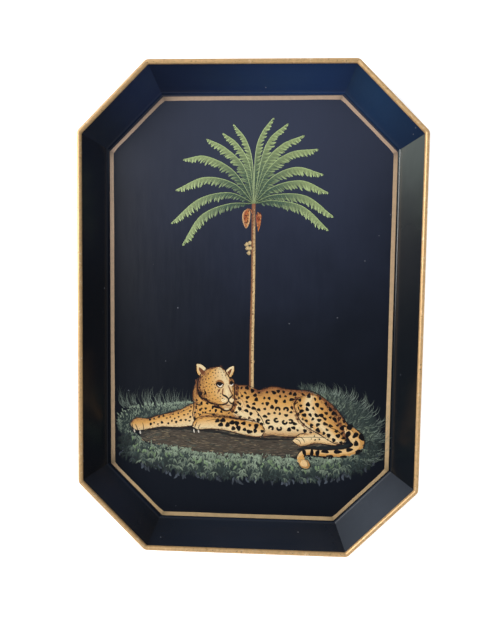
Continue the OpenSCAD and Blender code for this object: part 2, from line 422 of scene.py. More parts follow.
class Graph:
    """Short ways to add nodes to a tree and to join them."""

    def __init__(self, tree):
        self.tree = tree

    def add(self, kind, inputs=(), **settings):
        """A new node; inputs holds (socket name or number, value or output socket) pairs."""
        node = self.tree.nodes.new(kind)
        for name, value in settings.items():
            setattr(node, name, value)
        for key, value in inputs:
            self.feed(node.inputs[key], value)
        return node

    def feed(self, socket, value):
        """Link an output socket, or set a constant."""
        if isinstance(value, bpy.types.NodeSocket):
            self.tree.links.new(value, socket)
        elif hasattr(value, "__len__") and len(value) == 3 and socket.type == "RGBA":
            socket.default_value = (*value, 1)
        else:
            socket.default_value = value

    def math(self, operation, a, b=0.0, clamp=False):
        """One Math node."""
        node = self.add("ShaderNodeMath", [(0, a), (1, b)], operation=operation, use_clamp=clamp)
        return node.outputs[0]

    def vector(self, operation, a, b):
        """One Vector Math node; its vector result, or its value for LENGTH and DISTANCE."""
        node = self.add("ShaderNodeVectorMath", [(0, a), (1, b)], operation=operation)
        return node.outputs["Value" if operation in ("LENGTH", "DISTANCE") else "Vector"]

    def ramp(self, value, low, high, to_low=0.0, to_high=1.0):
        """The value carried smoothly from low..high to to_low..to_high."""
        node = self.add("ShaderNodeMapRange", [("Value", value), ("From Min", low), ("From Max", high),
                                               ("To Min", to_low), ("To Max", to_high)],
                        interpolation_type="SMOOTHSTEP")
        return node.outputs["Result"]

    def mix(self, factor, a, b, blend="MIX"):
        """Two colours mixed by the factor."""
        node = self.add("ShaderNodeMix", data_type="RGBA", blend_type=blend)
        for key, value in ((0, factor), (6, a), (7, b)):
            self.feed(node.inputs[key], value)
        return node.outputs[2]

    def noise(self, position, scale, detail=3.0, roughness=0.55):
        """Noise value at the position."""
        node = self.add("ShaderNodeTexNoise", [("Vector", position), ("Scale", scale),
                                               ("Detail", detail), ("Roughness", roughness)])
        return node.outputs["Fac"]

    def grey(self, value):
        """A grey colour whose three channels are the value."""
        return self.add("ShaderNodeCombineColor", [(channel, value) for channel in range(3)]).outputs[0]

    def position(self):
        """Object coordinates, which are the tray's own metres."""
        return self.add("ShaderNodeTexCoord").outputs["Object"]

    def group(self, tree, inputs):
        """A shared effect, placed with its own values."""
        node = self.add("ShaderNodeGroup")
        node.node_tree = tree
        for key, value in inputs:
            self.feed(node.inputs[key], value)
        return node.outputs


def effect(name, inputs, outputs, build):
    """A node group made once: inputs are (name, kind, default); build(graph, source) gives the results."""
    if name in bpy.data.node_groups:
        return bpy.data.node_groups[name]
    tree = bpy.data.node_groups.new(name, "ShaderNodeTree")
    for label, kind, default in inputs:
        socket = tree.interface.new_socket(name=label, in_out="INPUT", socket_type="NodeSocket" + kind)
        if default is not None:
            socket.default_value = default
    for label, kind in outputs:
        tree.interface.new_socket(name=label, in_out="OUTPUT", socket_type="NodeSocket" + kind)
    graph = Graph(tree)
    source = tree.nodes.new("NodeGroupInput").outputs
    results = build(graph, source)
    sink = tree.nodes.new("NodeGroupOutput")
    for (label, _), result in zip(outputs, results):
        graph.feed(sink.inputs[label], result)
    return tree


def brush_grain():
    """Streaks left by a brush: noise drawn out along one way gives a tone round 1 and a height."""
    def build(graph, source):
        drawn = graph.vector("MULTIPLY", source["Position"], source["Stretch"])
        coarse = graph.noise(drawn, source["Scale"])
        fine = graph.noise(drawn, graph.math("MULTIPLY", source["Scale"], 3.7), 2.0)
        height = graph.math("ADD", graph.math("MULTIPLY", coarse, 0.65), graph.math("MULTIPLY", fine, 0.35))
        swing = graph.math("MULTIPLY", graph.math("SUBTRACT", height, 0.5), source["Depth"])
        return graph.math("ADD", graph.math("MULTIPLY", swing, 2.0), 1.0), height
    return effect("Brush grain",
                  [("Position", "Vector", None), ("Scale", "Float", 400.0),
                   ("Stretch", "Vector", (1, 1, 1)), ("Depth", "Float", 0.3)],
                  [("Tone", "Float"), ("Height", "Float")], build)


def dust_specks():
    """Small pale flecks: the middles of a few cells of a Voronoi pattern."""
    def build(graph, source):
        cells = graph.add("ShaderNodeTexVoronoi", [("Vector", source["Position"]),
                                                   ("Scale", source["Scale"])])
        near = graph.math("LESS_THAN", cells.outputs["Distance"], source["Size"])
        chosen = graph.add("ShaderNodeSeparateColor", [("Color", cells.outputs["Color"])])
        few = graph.math("LESS_THAN", chosen.outputs["Red"], source["Share"])
        return (graph.math("MULTIPLY", near, few),)
    return effect("Dust specks",
                  [("Position", "Vector", None), ("Scale", "Float", 60.0), ("Size", "Float", 0.06),
                   ("Share", "Float", 0.3)],
                  [("Mask", "Float")], build)


def painted_reflection():
    """Painted reflection in the lacquer: a mask that fades with distance from its centre, broken up by
    noise.
    """
    def build(graph, source):
        away = graph.vector("DISTANCE", source["Position"], source["Centre"])
        cloud = graph.math("SUBTRACT", graph.noise(source["Position"], 14.0), 0.5)
        uneven = graph.math("MULTIPLY", cloud, 0.35)
        share = graph.math("ADD", graph.math("DIVIDE", away, source["Reach"]), uneven)
        return (graph.ramp(share, 1.0, 0.0),)
    return effect("Painted reflection",
                  [("Position", "Vector", None), ("Centre", "Vector", (0, 0, 0)), ("Reach", "Float", 0.2)],
                  [("Mask", "Float")], build)


def wear_and_highlight():
    """Patches of noise cut off at a level: where handling has worn the finish, and on the gilding also
    patches of painted highlight.
    """
    def build(graph, source):
        wide = graph.noise(source["Position"], source["Scale"], 6.0, 0.7)
        level = graph.math("SUBTRACT", 0.78, graph.math("MULTIPLY", source["Amount"], 0.4))
        return (graph.ramp(wide, level, graph.math("ADD", level, 0.06)),)
    return effect("Wear and highlight",
                  [("Position", "Vector", None), ("Scale", "Float", 120.0), ("Amount", "Float", 0.3)],
                  [("Mask", "Float")], build)


def new_material(name):
    """An empty material, its graph and its Principled shader."""
    material = bpy.data.materials.new(name)
    material.use_nodes = True
    graph = Graph(material.node_tree)
    return material, graph, material.node_tree.nodes["Principled BSDF"]


def bump(graph, height, strength, distance):
    """A Bump node's normal."""
    return graph.add("ShaderNodeBump", [("Height", height), ("Strength", strength),
                                        ("Distance", distance)]).outputs["Normal"]


def grained(graph, at, scale, depth, stretch=(1, 1, 1)):
    """Brush grain: its tone as a grey colour, and its height."""
    grain = graph.group(brush_grain(), [("Position", at), ("Scale", scale), ("Stretch", stretch),
                                        ("Depth", depth)])
    return graph.grey(grain["Tone"]), grain["Height"]


def wear_and_highlight_mask(graph, at, scale, amount):
    """Mask of the patches: of wear, and on the gilding also of painted highlight."""
    return graph.group(wear_and_highlight(), [("Position", at), ("Scale", scale), ("Amount", amount)])["Mask"]


LACQUER_GLOSS = ((0.18, 0.25), 0.38)     # range of roughness, and specular level
FLOOR_GLOSS = ((0.31, 0.35), 0.5)
HANDLED_GLOSS = ((0.40, 0.48), 0.2)


def lacquer(name, deep, reflection_tint, centre, reach, streak=(1.0, 0.12, 1.0), lumps=0.0, gloss=LACQUER_GLOSS):
    """Brushed blue-black lacquer: a painted reflection that fades out from a centre, brush streaks, specks
    of dust, and a back worn by handling.
    """
    bare_metal, dust_grey = linear("#4a443c"), linear("#8b8f98")
    roughness, level = gloss
    material, graph, shader = new_material(name)
    at = graph.position()
    reflection_mask = graph.group(painted_reflection(), [("Position", at), ("Centre", centre), ("Reach", reach)])["Mask"]
    tone, grain = grained(graph, at, 260.0, 0.11, streak)
    specks = graph.group(dust_specks(), [("Position", at), ("Scale", 75.0), ("Size", 0.05),
                                         ("Share", 0.22)])["Mask"]
    facing = graph.add("ShaderNodeSeparateXYZ", [(0, graph.add("ShaderNodeNewGeometry").outputs["Normal"])])
    back = graph.ramp(facing.outputs["Z"], -0.1, -0.4)
    worn = graph.math("MULTIPLY", wear_and_highlight_mask(graph, at, 90.0, 0.42), back)
    # painted reflection: the deep colour gives way to the lighter reflection tint near its centre
    colour = graph.mix(reflection_mask, deep, reflection_tint)
    colour = graph.mix(1.0, colour, tone, "MULTIPLY")
    colour = graph.mix(worn, colour, bare_metal)
    dust = graph.math("MULTIPLY", specks, graph.noise(at, 30.0))
    graph.feed(shader.inputs["Base Color"], graph.mix(dust, colour, dust_grey))
    rough = graph.math("ADD", graph.ramp(grain, 0.3, 0.7, *roughness), graph.math("MULTIPLY", worn, 0.25))
    graph.feed(shader.inputs["Roughness"], rough)
    height = graph.math("ADD", grain, graph.math("MULTIPLY", graph.noise(at, 160.0), lumps))
    graph.feed(shader.inputs["Normal"], bump(graph, height, 0.08, 0.0001))
    shader.inputs["Specular IOR Level"].default_value = level
    shader.inputs["Coat Weight"].default_value = 0.1
    shader.inputs["Coat Roughness"].default_value = 0.22
    return material


def gilding(name, gold):
    """Gold size on a rolled edge: leaf laps, pale patches of painted highlight, and brown flecks where it
    has worn.
    """
    pale_highlight, old_leaf, bole = linear("#fae2bb"), linear("#a8793a"), linear("#6e4521")
    material, graph, shader = new_material(name)
    at = graph.position()
    tone, grain = grained(graph, at, 330.0, 0.4)
    fleck = wear_and_highlight_mask(graph, at, 420.0, 0.44)
    # painted highlight: pale patches of gold where light glints on the rim
    colour = graph.mix(graph.math("MULTIPLY", wear_and_highlight_mask(graph, at, 150.0, 0.5), 0.6), gold, pale_highlight)
    colour = graph.mix(graph.math("MULTIPLY", wear_and_highlight_mask(graph, at, 60.0, 0.35), 0.6), colour, old_leaf)
    colour = graph.mix(1.0, colour, tone, "MULTIPLY")
    colour = graph.mix(graph.math("MULTIPLY", fleck, 0.85), colour, bole)
    graph.feed(shader.inputs["Base Color"], colour)
    graph.feed(shader.inputs["Metallic"], graph.ramp(fleck, 0.0, 1.0, 0.4, 0.1))
    graph.feed(shader.inputs["Roughness"], graph.ramp(grain, 0.3, 0.7, 0.34, 0.52))
    graph.feed(shader.inputs["Normal"], bump(graph, grain, 0.5, 0.0002))
    return material


def drawn_iron(name):
    """Drawn iron wire: dark grey with fine draw lines and patches of rust."""
    iron, red_rust = linear("#5c5c5e"), linear("#6a3c22")
    material, graph, shader = new_material(name)
    at = graph.position()
    tone, grain = grained(graph, at, 900.0, 0.5)
    rust = wear_and_highlight_mask(graph, at, 200.0, 0.55)
    colour = graph.mix(1.0, iron, tone, "MULTIPLY")
    graph.feed(shader.inputs["Base Color"], graph.mix(rust, colour, red_rust))
    graph.feed(shader.inputs["Metallic"], graph.ramp(rust, 0.0, 1.0, 0.9, 0.1))
    graph.feed(shader.inputs["Roughness"], graph.ramp(rust, 0.0, 1.0, 0.42, 0.8))
    graph.feed(shader.inputs["Normal"], bump(graph, grain, 0.4, 0.0001))
    return material


def oil_paint(name, scale, stretch=(1, 1, 1), depth=0.3, rough=0.5, flake=0.3, metal=0.0):
    """Oil paint in the colours of the strokes: brush grain over them, and small flakes lost to wear."""
    bare_lacquer = linear("#1c1a1c")
    material, graph, shader = new_material(name)
    at = graph.position()
    pigment = graph.add("ShaderNodeAttribute", attribute_name="paint").outputs["Color"]
    tone, grain = grained(graph, at, scale, depth, stretch)
    lost = wear_and_highlight_mask(graph, at, 700.0, flake)
    colour = graph.mix(1.0, pigment, tone, "MULTIPLY")
    colour = graph.mix(graph.math("MULTIPLY", lost, 0.7), colour, bare_lacquer)
    graph.feed(shader.inputs["Base Color"], colour)
    graph.feed(shader.inputs["Roughness"], graph.ramp(grain, 0.25, 0.75, rough - 0.1, rough + 0.1))
    if metal:
        graph.feed(shader.inputs["Metallic"], graph.ramp(lost, 0.0, 1.0, metal, 0.0))
    graph.feed(shader.inputs["Normal"], bump(graph, grain, 0.35, 0.00015))
    return material


def grass_paint(side):
    """Oil paint of one patch of grass."""
    return oil_paint("grass_paint_" + side, 500.0, depth=0.45, rough=0.55)


# ---------------------------------------------------------------- operators

def settings(context):
    """The tray's sizes and colours."""
    return context.scene.tray_sizes, context.scene.tray_colours


def coat_nodes(names, material):
    """Give CAD nodes this material."""
    for name in names:
        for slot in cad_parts[name].material_slots:
            slot.material = material


# Each panel's deep colour is painted light: lighter or bluer on the panels that face the light, as on the
# bottom right and the top.
PANELS = {  # side: node, deep colour, painted reflection colour, centre of the painted reflection (m), reach (m)
    "right": ("side_panel_right", "#0c1219", "#5a625f", (0.165, 0.21, 0.02), 0.15),
    "top_right": ("corner_panel_top_right", "#131f35", "#1b3353", (0.13, 0.22, 0.02), 0.09),
    "top": ("end_panel_top", "#141f37", "#1d345b", (0.06, 0.24, 0.02), 0.16),
    "top_left": ("corner_panel_top_left", "#141b29", "#1d2948", (-0.10, 0.23, 0.02), 0.08),
    "left": ("side_panel_left", "#0b0f16", "#141a26", (-0.165, 0.15, 0.02), 0.16),
    "bottom_left": ("corner_panel_bottom_left", "#0f141d", "#182131", (-0.14, -0.20, 0.02), 0.07),
    "bottom": ("end_panel_bottom", "#101620", "#1a2230", (0.0, -0.24, 0.02), 0.15),
    "bottom_right": ("corner_panel_bottom_right", "#2c323b", "#414852", (0.14, -0.21, 0.02), 0.08),
}


class TRAY_OT_lacquer(bpy.types.Operator):
    """Lacquer the floor, the eight side panels and the soldered seams"""
    bl_idname = "tray.lacquer"
    bl_label = "Lacquer"

    def execute(self, context):
        _, colours = settings(context)
        # the floor's lacquer gets a painted reflection, bluer and lighter round a centre near its upper end
        floor = lacquer("lacquer_floor", tuple(colours.lacquer), linear("#2e3448"), (0.03, 0.2, 0.001),
                        0.30, gloss=FLOOR_GLOSS)
        coat_nodes(["floor_panel"], floor)
        for side, (node, deep, reflection_tint, centre, reach) in PANELS.items():
            streak = (0.12, 1.0, 1.0) if side in ("top", "bottom") else (1.0, 0.12, 1.0)
            gloss = HANDLED_GLOSS if side == "bottom_right" else LACQUER_GLOSS
            coat_nodes([node], lacquer("lacquer_" + side, linear(deep), linear(reflection_tint), centre, reach, streak,
                                       gloss=gloss))
        seam = lacquer("lacquered_solder", linear("#15171b"), linear("#23262c"), (0, 0, 0), 0.3,
                       (1, 1, 1), lumps=2.0)
        coat_nodes(["corner_seam_" + s for s in SEAMS] + ["lap_seam_" + s for s in SIDES], seam)
        return {"FINISHED"}


class TRAY_OT_gilding(bpy.types.Operator):
    """Gild the rolled rim and finish the wire inside it"""
    bl_idname = "tray.gilding"
    bl_label = "Gild the rim"

    def execute(self, context):
        _, colours = settings(context)
        coat_nodes(["rim_binding_" + s for s in SIDES], gilding("gilt", tuple(colours.gold)))
        coat_nodes(["rim_wire"], drawn_iron("iron_wire"))
        return {"FINISHED"}


# How far the hand strayed at each corner of the pinstripe, in mm.
DRIFT = np.array([(0.3, -1.8), (-1.8, -0.3), (1.0, -1.2), (0.3, -1.8),
                  (1.5, -0.2), (2.0, -0.3), (-1.0, -0.3), (0.3, 0.6)])
SHEEN_AT = (0, 0.4, 1, 2, 3.2, 4, 5, 6, 7, 8)     # sides of the octagon, counted from the upper right
SHEEN = (1.05, 1.05, 1.05, 0.85, 1.45, 1.3, 1.15, 1.2, 1.35, 1.15)
WARMTH_AT = (0, 3, 4.5, 7, 8)
WARMTH = (0, 0, 1, 1, 0.4)
WARM_BLUE_LOSS = 0.25
STRIPE_RAILS = (0.0, 0.12, 0.88, 1.0)    # feet and shoulders of the stripe, in shares of its width
DIAGONAL_THINNING = 0.8                  # mm that the stripe is narrower on the four diagonals
CORNER_SHADE, CORNER_REACH = 0.35, 0.02  # how dark each corner is, and how far along a side that goes


def floor_ring(inset):
    """Corners of the floor's outline moved inwards, in mm, anticlockwise from the upper right one."""
    half_width, half_length, cut = floor_outline()
    x, y, c = half_width - inset, half_length - inset, cut - inset * (2 - np.sqrt(2))
    quarter = np.array([(x, y - c), (x - c, y)])
    left = quarter[::-1] * (-1, 1)
    return np.vstack([quarter, left, -quarter, -left]) + DRIFT


class TRAY_OT_pinstripe(bpy.types.Operator):
    """Paint the bronze pinstripe round the floor"""
    bl_idname = "tray.pinstripe"
    bl_label = "Pinstripe"

    def execute(self, context):
        sizes, colours = settings(context)
        measures = (sizes.stripe_inset, sizes.stripe_width, sizes.stripe_height)
        inset, width, height = (measure / MM for measure in measures)
        steps = 48               # along each side
        u = np.linspace(0, 1, steps, endpoint=False)[None, :, None]
        rails = []
        for depth in STRIPE_RAILS:
            corners = floor_ring(inset + width * depth)[:, None]
            rails.append((corners * (1 - u) + np.roll(corners, -1, 0) * u).reshape(-1, 2))
        rings = np.stack(rails, 1)
        count = len(rings)
        step = np.arange(count)
        side, along = step // steps, step % steps / steps
        from_corner = np.minimum(along, 1 - along)
        waver = 0.10 * np.sin(step * 0.21) + 0.06 * np.sin(step * 0.53 + 1)
        waver -= DIAGONAL_THINNING * (side % 2 == 0) * np.minimum(1, 12 * from_corner)
        inward = rings[:, 3] - rings[:, 0]
        inward /= np.linalg.norm(inward, axis=1, keepdims=True)
        rings[:, 2:] += (inward * waver[:, None])[:, None]
        tall = np.broadcast_to(np.array([-SUNK, height, height, -SUNK]), (count, 4))
        tone = np.broadcast_to(np.array(colours.stripe), (count, 3)).copy()
        tone *= np.interp(side + along, SHEEN_AT, SHEEN)[:, None]
        tone[:, 2] *= 1 - WARM_BLUE_LOSS * np.interp(side + along, WARMTH_AT, WARMTH)
        tone *= (1 - CORNER_SHADE * np.exp(-(from_corner / CORNER_REACH) ** 2))[:, None]
        brush = Brushwork()
        k, j = step[:, None] * 4, np.arange(4)[None]
        k2, j2 = (step[:, None] + 1) % count * 4, (j + 1) % 4
        quads = np.stack([k + j, k2 + j, k2 + j2, k + j2], -1)
        brush.add(np.concatenate([rings, tall[..., None]], -1), np.repeat(tone[:, None], 4, 1),
                  [quads[:, 3], quads[:, :3].reshape(-1, 4)])
        bronze = oil_paint("bronze_paint", 240.0, depth=0.25, rough=0.42, flake=0.25, metal=0.25)
        brush.piece("pinstripe", bronze)
        return {"FINISHED"}


TRUNK_X, TRUNK_TOP, TRUNK_FOOT = 3, 116.5, -84     # mm on the floor
TRUNK_HALF = (1.75, 2.15)                          # mm, half width at the top and at the foot
BARK_SPAN = (-80, 108)
CROWN = (TRUNK_X, 115)
FRONDS = [  # two points along each rib and its tip in mm, clockwise from the lowest on the left
    ((-25, 114), (-54, 101), (-73, 71)), ((-23, 126), (-56, 119), (-85, 94)),
    ((-19, 136), (-50, 142), (-80, 129)), ((-18, 148), (-48, 164), (-72, 161)),
    ((-8, 153), (-28, 173), (-47, 182)), ((-2, 155), (-15, 177), (-30, 188)),
    ((1, 157), (-6, 181), (-19, 197)), ((4, 166), (10, 188), (22, 204)),
    ((10, 160), (19, 183), (37, 198)), ((14, 156), (31, 176), (54, 186)),
    ((17, 150), (40, 168), (69, 172)), ((20, 141), (47, 153), (75, 146)),
    ((22, 132), (53, 139), (81, 127)), ((24, 124), (58, 123), (87, 102)),
    ((24, 118), (55, 112), (82, 88)),
]
LEAFLET_ROWS = ((0.5, 0.6, 0.85, 2.2), (0.0, 1.0, 1.0, 2.3))  # shift, tone, share of the reach, width in mm


def frond(brush, random, sizes, colours, near, middle, tip, level):
    """One frond: a blade that hangs from the rib's outer side, two layers of slanting leaflets, a pale rib.

    The blade is about two thirds of the frond's width, and the leaflets' separate tips make up the rest.
    """
    light, dark = tones_of(colours, "leaf_light", "leaf_dark")
    count = sizes.leaflets
    rings = 60
    rib = spline([CROWN, near, middle, tip], rings)
    hang = -np.sign(tip[0] - CROWN[0])
    u = np.linspace(0, 1, rings)
    full = sizes.frond_width / MM * np.interp(abs(tip[0] - CROWN[0]), [20, 50], [0.7, 1.0])
    wide = full * np.interp(u, [0, 0.12, 0.32, 0.65, 0.9, 1], [0.1, 0.5, 0.9, 1.0, 0.6, 0.1])
    blade = Patch(rib, rib + hang * across(rib) * (0.66 * wide)[:, None])
    brush.fill(blade, -SUNK, level, lambda s, t: stops(
        np.clip(s * 1.15 - 0.15 * t, 0, 1), (0, dark * 0.55), (0.3, dark), (0.55, (dark + light) * 0.45),
        (0.75, light * 0.85), (1, light * 0.95)), 6)
    place = np.linspace(0.1, 0.985, count) + random.uniform(-0.008, 0.008, count)
    for turn, tone, share, breadth in LEAFLET_ROWS:
        s = np.clip(place + turn / count, 0, 1)
        root = blade.at(s, np.full(count, 0.25))
        reach = share * np.interp(s, u, wide) * random.uniform(0.85, 1.2, count) + 0.8
        angle = blade.heading(s, np.zeros(count)) + hang * random.uniform(52, 68, count)
        hue = tone * stops(np.clip(s + random.uniform(-0.12, 0.12, count), 0, 1), (0, dark * 0.8),
                           (0.35, (dark + light) * 0.42), (0.7, light * 0.9), (1, light))
        strew(brush, random, root, angle, reach, (-0.14, 0.0), breadth, (0, 0.02), hue, LEAFLET, 1.75,
              above=level + 0.03 + 0.03 * tone)
    width = sizes.rib_width / MM * np.interp(u, [0, 0.3, 1], [0.5, 0.5, 0.4])
    pale = np.clip(stops(u, (0, light * 0.7), (0.3, light * 1.2), (1, light * 1.6)), 0, 1)
    brush.lay(rib[None], width[None], -SUNK, level + 0.12, pale[None], edge=0.9)


class TRAY_OT_palm(bpy.types.Operator):
    """Paint the palm: its fronds, trunk and fruit"""
    bl_idname = "tray.palm"
    bl_label = "Palm"

    def execute(self, context):
        sizes, colours = settings(context)
        random = np.random.default_rng(7)
        leaves = Brushwork()
        order = sorted(range(len(FRONDS)), key=lambda i: abs(i - len(FRONDS) // 2))
        for rank, i in enumerate(order):
            frond(leaves, random, sizes, colours, *FRONDS[i], 0.05 + 0.008 * rank)
        leaves.piece("palm_fronds", oil_paint("leaf_paint", 520.0, depth=0.45, rough=0.5))
        self.trunk(random, colours)
        self.fruit(random)
        return {"FINISHED"}

    def trunk(self, random, colours):
        """The trunk: four long strokes side by side from dark to light, with small bark marks over them."""
        light, dark = tones_of(colours, "bark_light", "bark_dark")
        brush = Brushwork()
        count = 60
        y = np.linspace(TRUNK_TOP, TRUNK_FOOT, count)
        half = np.linspace(*TRUNK_HALF, count)
        middle = TRUNK_X + 0.25 * np.sin(y / 23)
        orange = linear("#8a5236")
        strokes = ((-0.66, dark, 0.10), (0.72, light * 0.8, 0.11), (0.0, (light + dark) / 2, 0.13),
                   (0.34, light, 0.16))
        for share, tone, lift in strokes:
            path = np.column_stack([middle + share * half, y])
            hue = stops(np.linspace(0, 1, count), (0, orange), (0.12, (tone + orange) / 2), (0.3, tone),
                        (1, tone))
            brush.lay(path[None], (half * 0.52)[None], -SUNK, lift, hue[None], edge=0.85)
        bark = (  # marks, how far aside, colour, its tones, angle, reach, width, low, high
            (150, (-2.2, 0.2), dark, (0.25, 0.9), (20, 60), (0.9, 2.2), 0.6, 0.13, 0.18),
            (60, (0.2, 2.0), light, (0.8, 1.25), (70, 95), (1.5, 4), 0.5, 0.14, 0.185))
        for marks, aside, colour, tones, angle, reach, width, low, high in bark:
            x = TRUNK_X + random.uniform(*aside, marks)
            at = np.column_stack([x, random.uniform(*BARK_SPAN, marks)])
            hue = mottled(random, marks, colour, tones)
            strew(brush, random, at, angle, reach, 0.0, width, (0, 0.02), hue, above=high, low=low)
        bark_paint = oil_paint("bark_paint", 480.0, (1, 0.5, 1), depth=0.5, rough=0.5)
        brush.piece("palm_trunk", bark_paint)

    def fruit(self, random):
        """Two hanging pods and a cluster of small pale fruit on the trunk."""
        brush = Brushwork()
        red, tawny, pale = (np.array(linear(c)) for c in ("#9c4a2c", "#c9793f", "#e0b37c"))
        left = Patch([(-3, 109), (-7, 107), (-9, 102), (-8, 95), (-5, 89)],
                     [(-3, 109), (-1, 106), (-1, 101), (-2, 94), (-5, 89)], 24)
        right = Patch([(8, 106), (5.5, 102), (6, 95), (7, 90), (8, 85)],
                      [(8, 106), (11, 103), (11, 97), (10, 91), (8, 85)], 24)
        brush.fill(left, -SUNK, 0.12, lambda s, t: stops(
            t + 0 * s, (0, pale), (0.25, red), (0.7, tawny), (1, pale)))
        brush.fill(right, -SUNK, 0.12, lambda s, t: stops(
            s + 0 * t, (0, red), (0.4, red), (0.7, tawny), (1, linear("#e0863a"))))
        rim = [(-3, 109), (-7, 107), (-9, 102), (-8, 95), (-5, 89), (-2, 94), (-1, 101), (-1, 106),
               (-3, 109)]
        line(brush, rim, 0.7, 0.15, pale)
        line(brush, [(1.5, 103), (0.5, 107), (-2, 109), (-4, 108)], 0.9, 0.17, tawny)
        number = 40
        at = np.vstack([left.at(random.uniform(0.15, 0.85, number), random.uniform(0.3, 0.8, number)),
                        right.at(random.uniform(0.1, 0.9, number), random.uniform(0.15, 0.9, number))])
        hue = stops(random.uniform(0, 1, 2 * number), (0, red * 0.12), (0.5, red * 0.35), (0.75, tawny),
                    (1, pale))
        strew(brush, random, at, (60, 120), (1.2, 3.0), 0.0, 1.0, (0, 0.02), hue, above=0.14, low=0.11)
        cream = np.array(linear("#d8bd8a"))
        balls = np.array([(-4, 71.5), (-0.8, 73), (-3.2, 67.5), (-0.3, 67.2), (-1.6, 62.5)])
        brush.dabs(balls, 2.3, -SUNK, 0.2 + 0.004 * np.arange(len(balls)), cream * 0.62)
        brush.dabs(balls + (0.3, 0.5), 1.6, 0.0, 0.235 + 0.004 * np.arange(len(balls)), cream)
        brush.piece("palm_fruit", oil_paint("fruit_paint", 700.0, depth=0.4, rough=0.45))


# Borders of the ground and of the grass, in mm on the floor; each pair meets at both ends.
EARTH_TOP = [(-122, -136), (-113, -131), (-91, -128), (-43, -128), (14, -128), (60, -128), (108, -136)]
EARTH_FOOT = [(-122, -136), (-115, -145), (-79, -153), (-43, -160), (5, -161), (53, -159), (108, -136)]
FRONT_TOP = [(-140, -129), (-133, -131), (-119, -141), (-105, -147), (-79, -150), (-43, -156), (-7, -157),
             (51, -158), (90, -158), (116, -153), (132, -140), (147, -132)]
FRONT_FOOT = [(-140, -129), (-141, -144), (-137, -160), (-115, -169), (-67, -179), (-31, -182), (25, -183),
              (45, -183), (80, -180), (108, -175), (132, -163), (147, -132)]
LEFT_TOP = [(-143, -128), (-141, -114), (-125, -105), (-100, -104), (-78, -102), (-62, -101), (-52, -104)]
LEFT_FOOT = [(-143, -128), (-140, -139), (-130, -138), (-110, -122), (-86, -115), (-68, -110), (-52, -103)]
RUMP_IN = [(52, -86), (68, -88), (80, -93), (90, -101), (100, -112), (110, -124), (122, -134), (127, -144),
           (124, -156), (110, -160)]
RUMP_OUT = [(52, -86), (68, -85), (88, -88), (106, -90), (122, -95), (134, -104), (142, -118), (144, -140),
            (138, -158), (110, -160)]


# Heading of the blades behind the rump along their patch, in degrees.
FAN_AT = (0, 0.3, 0.6, 0.85, 1)
FAN = (115, 80, 48, 12, -30)
EDGE_FAN = (110, 75, 45, 5, -30)


def soft_ground(brush, patch, middle, border):
    """An underpainting whose colour runs out to the lacquer's at its borders."""
    brush.fill(patch, -SUNK, UNDERCOAT, lambda s, t: stops(
        np.clip(4 * t * (1 - t) * np.minimum(1, 8 * s * (1 - s)), 0, 1), (0, border), (0.75, middle),
        (1, middle)))


GRASS = ("grass_light", "grass_dark", "grass_far")


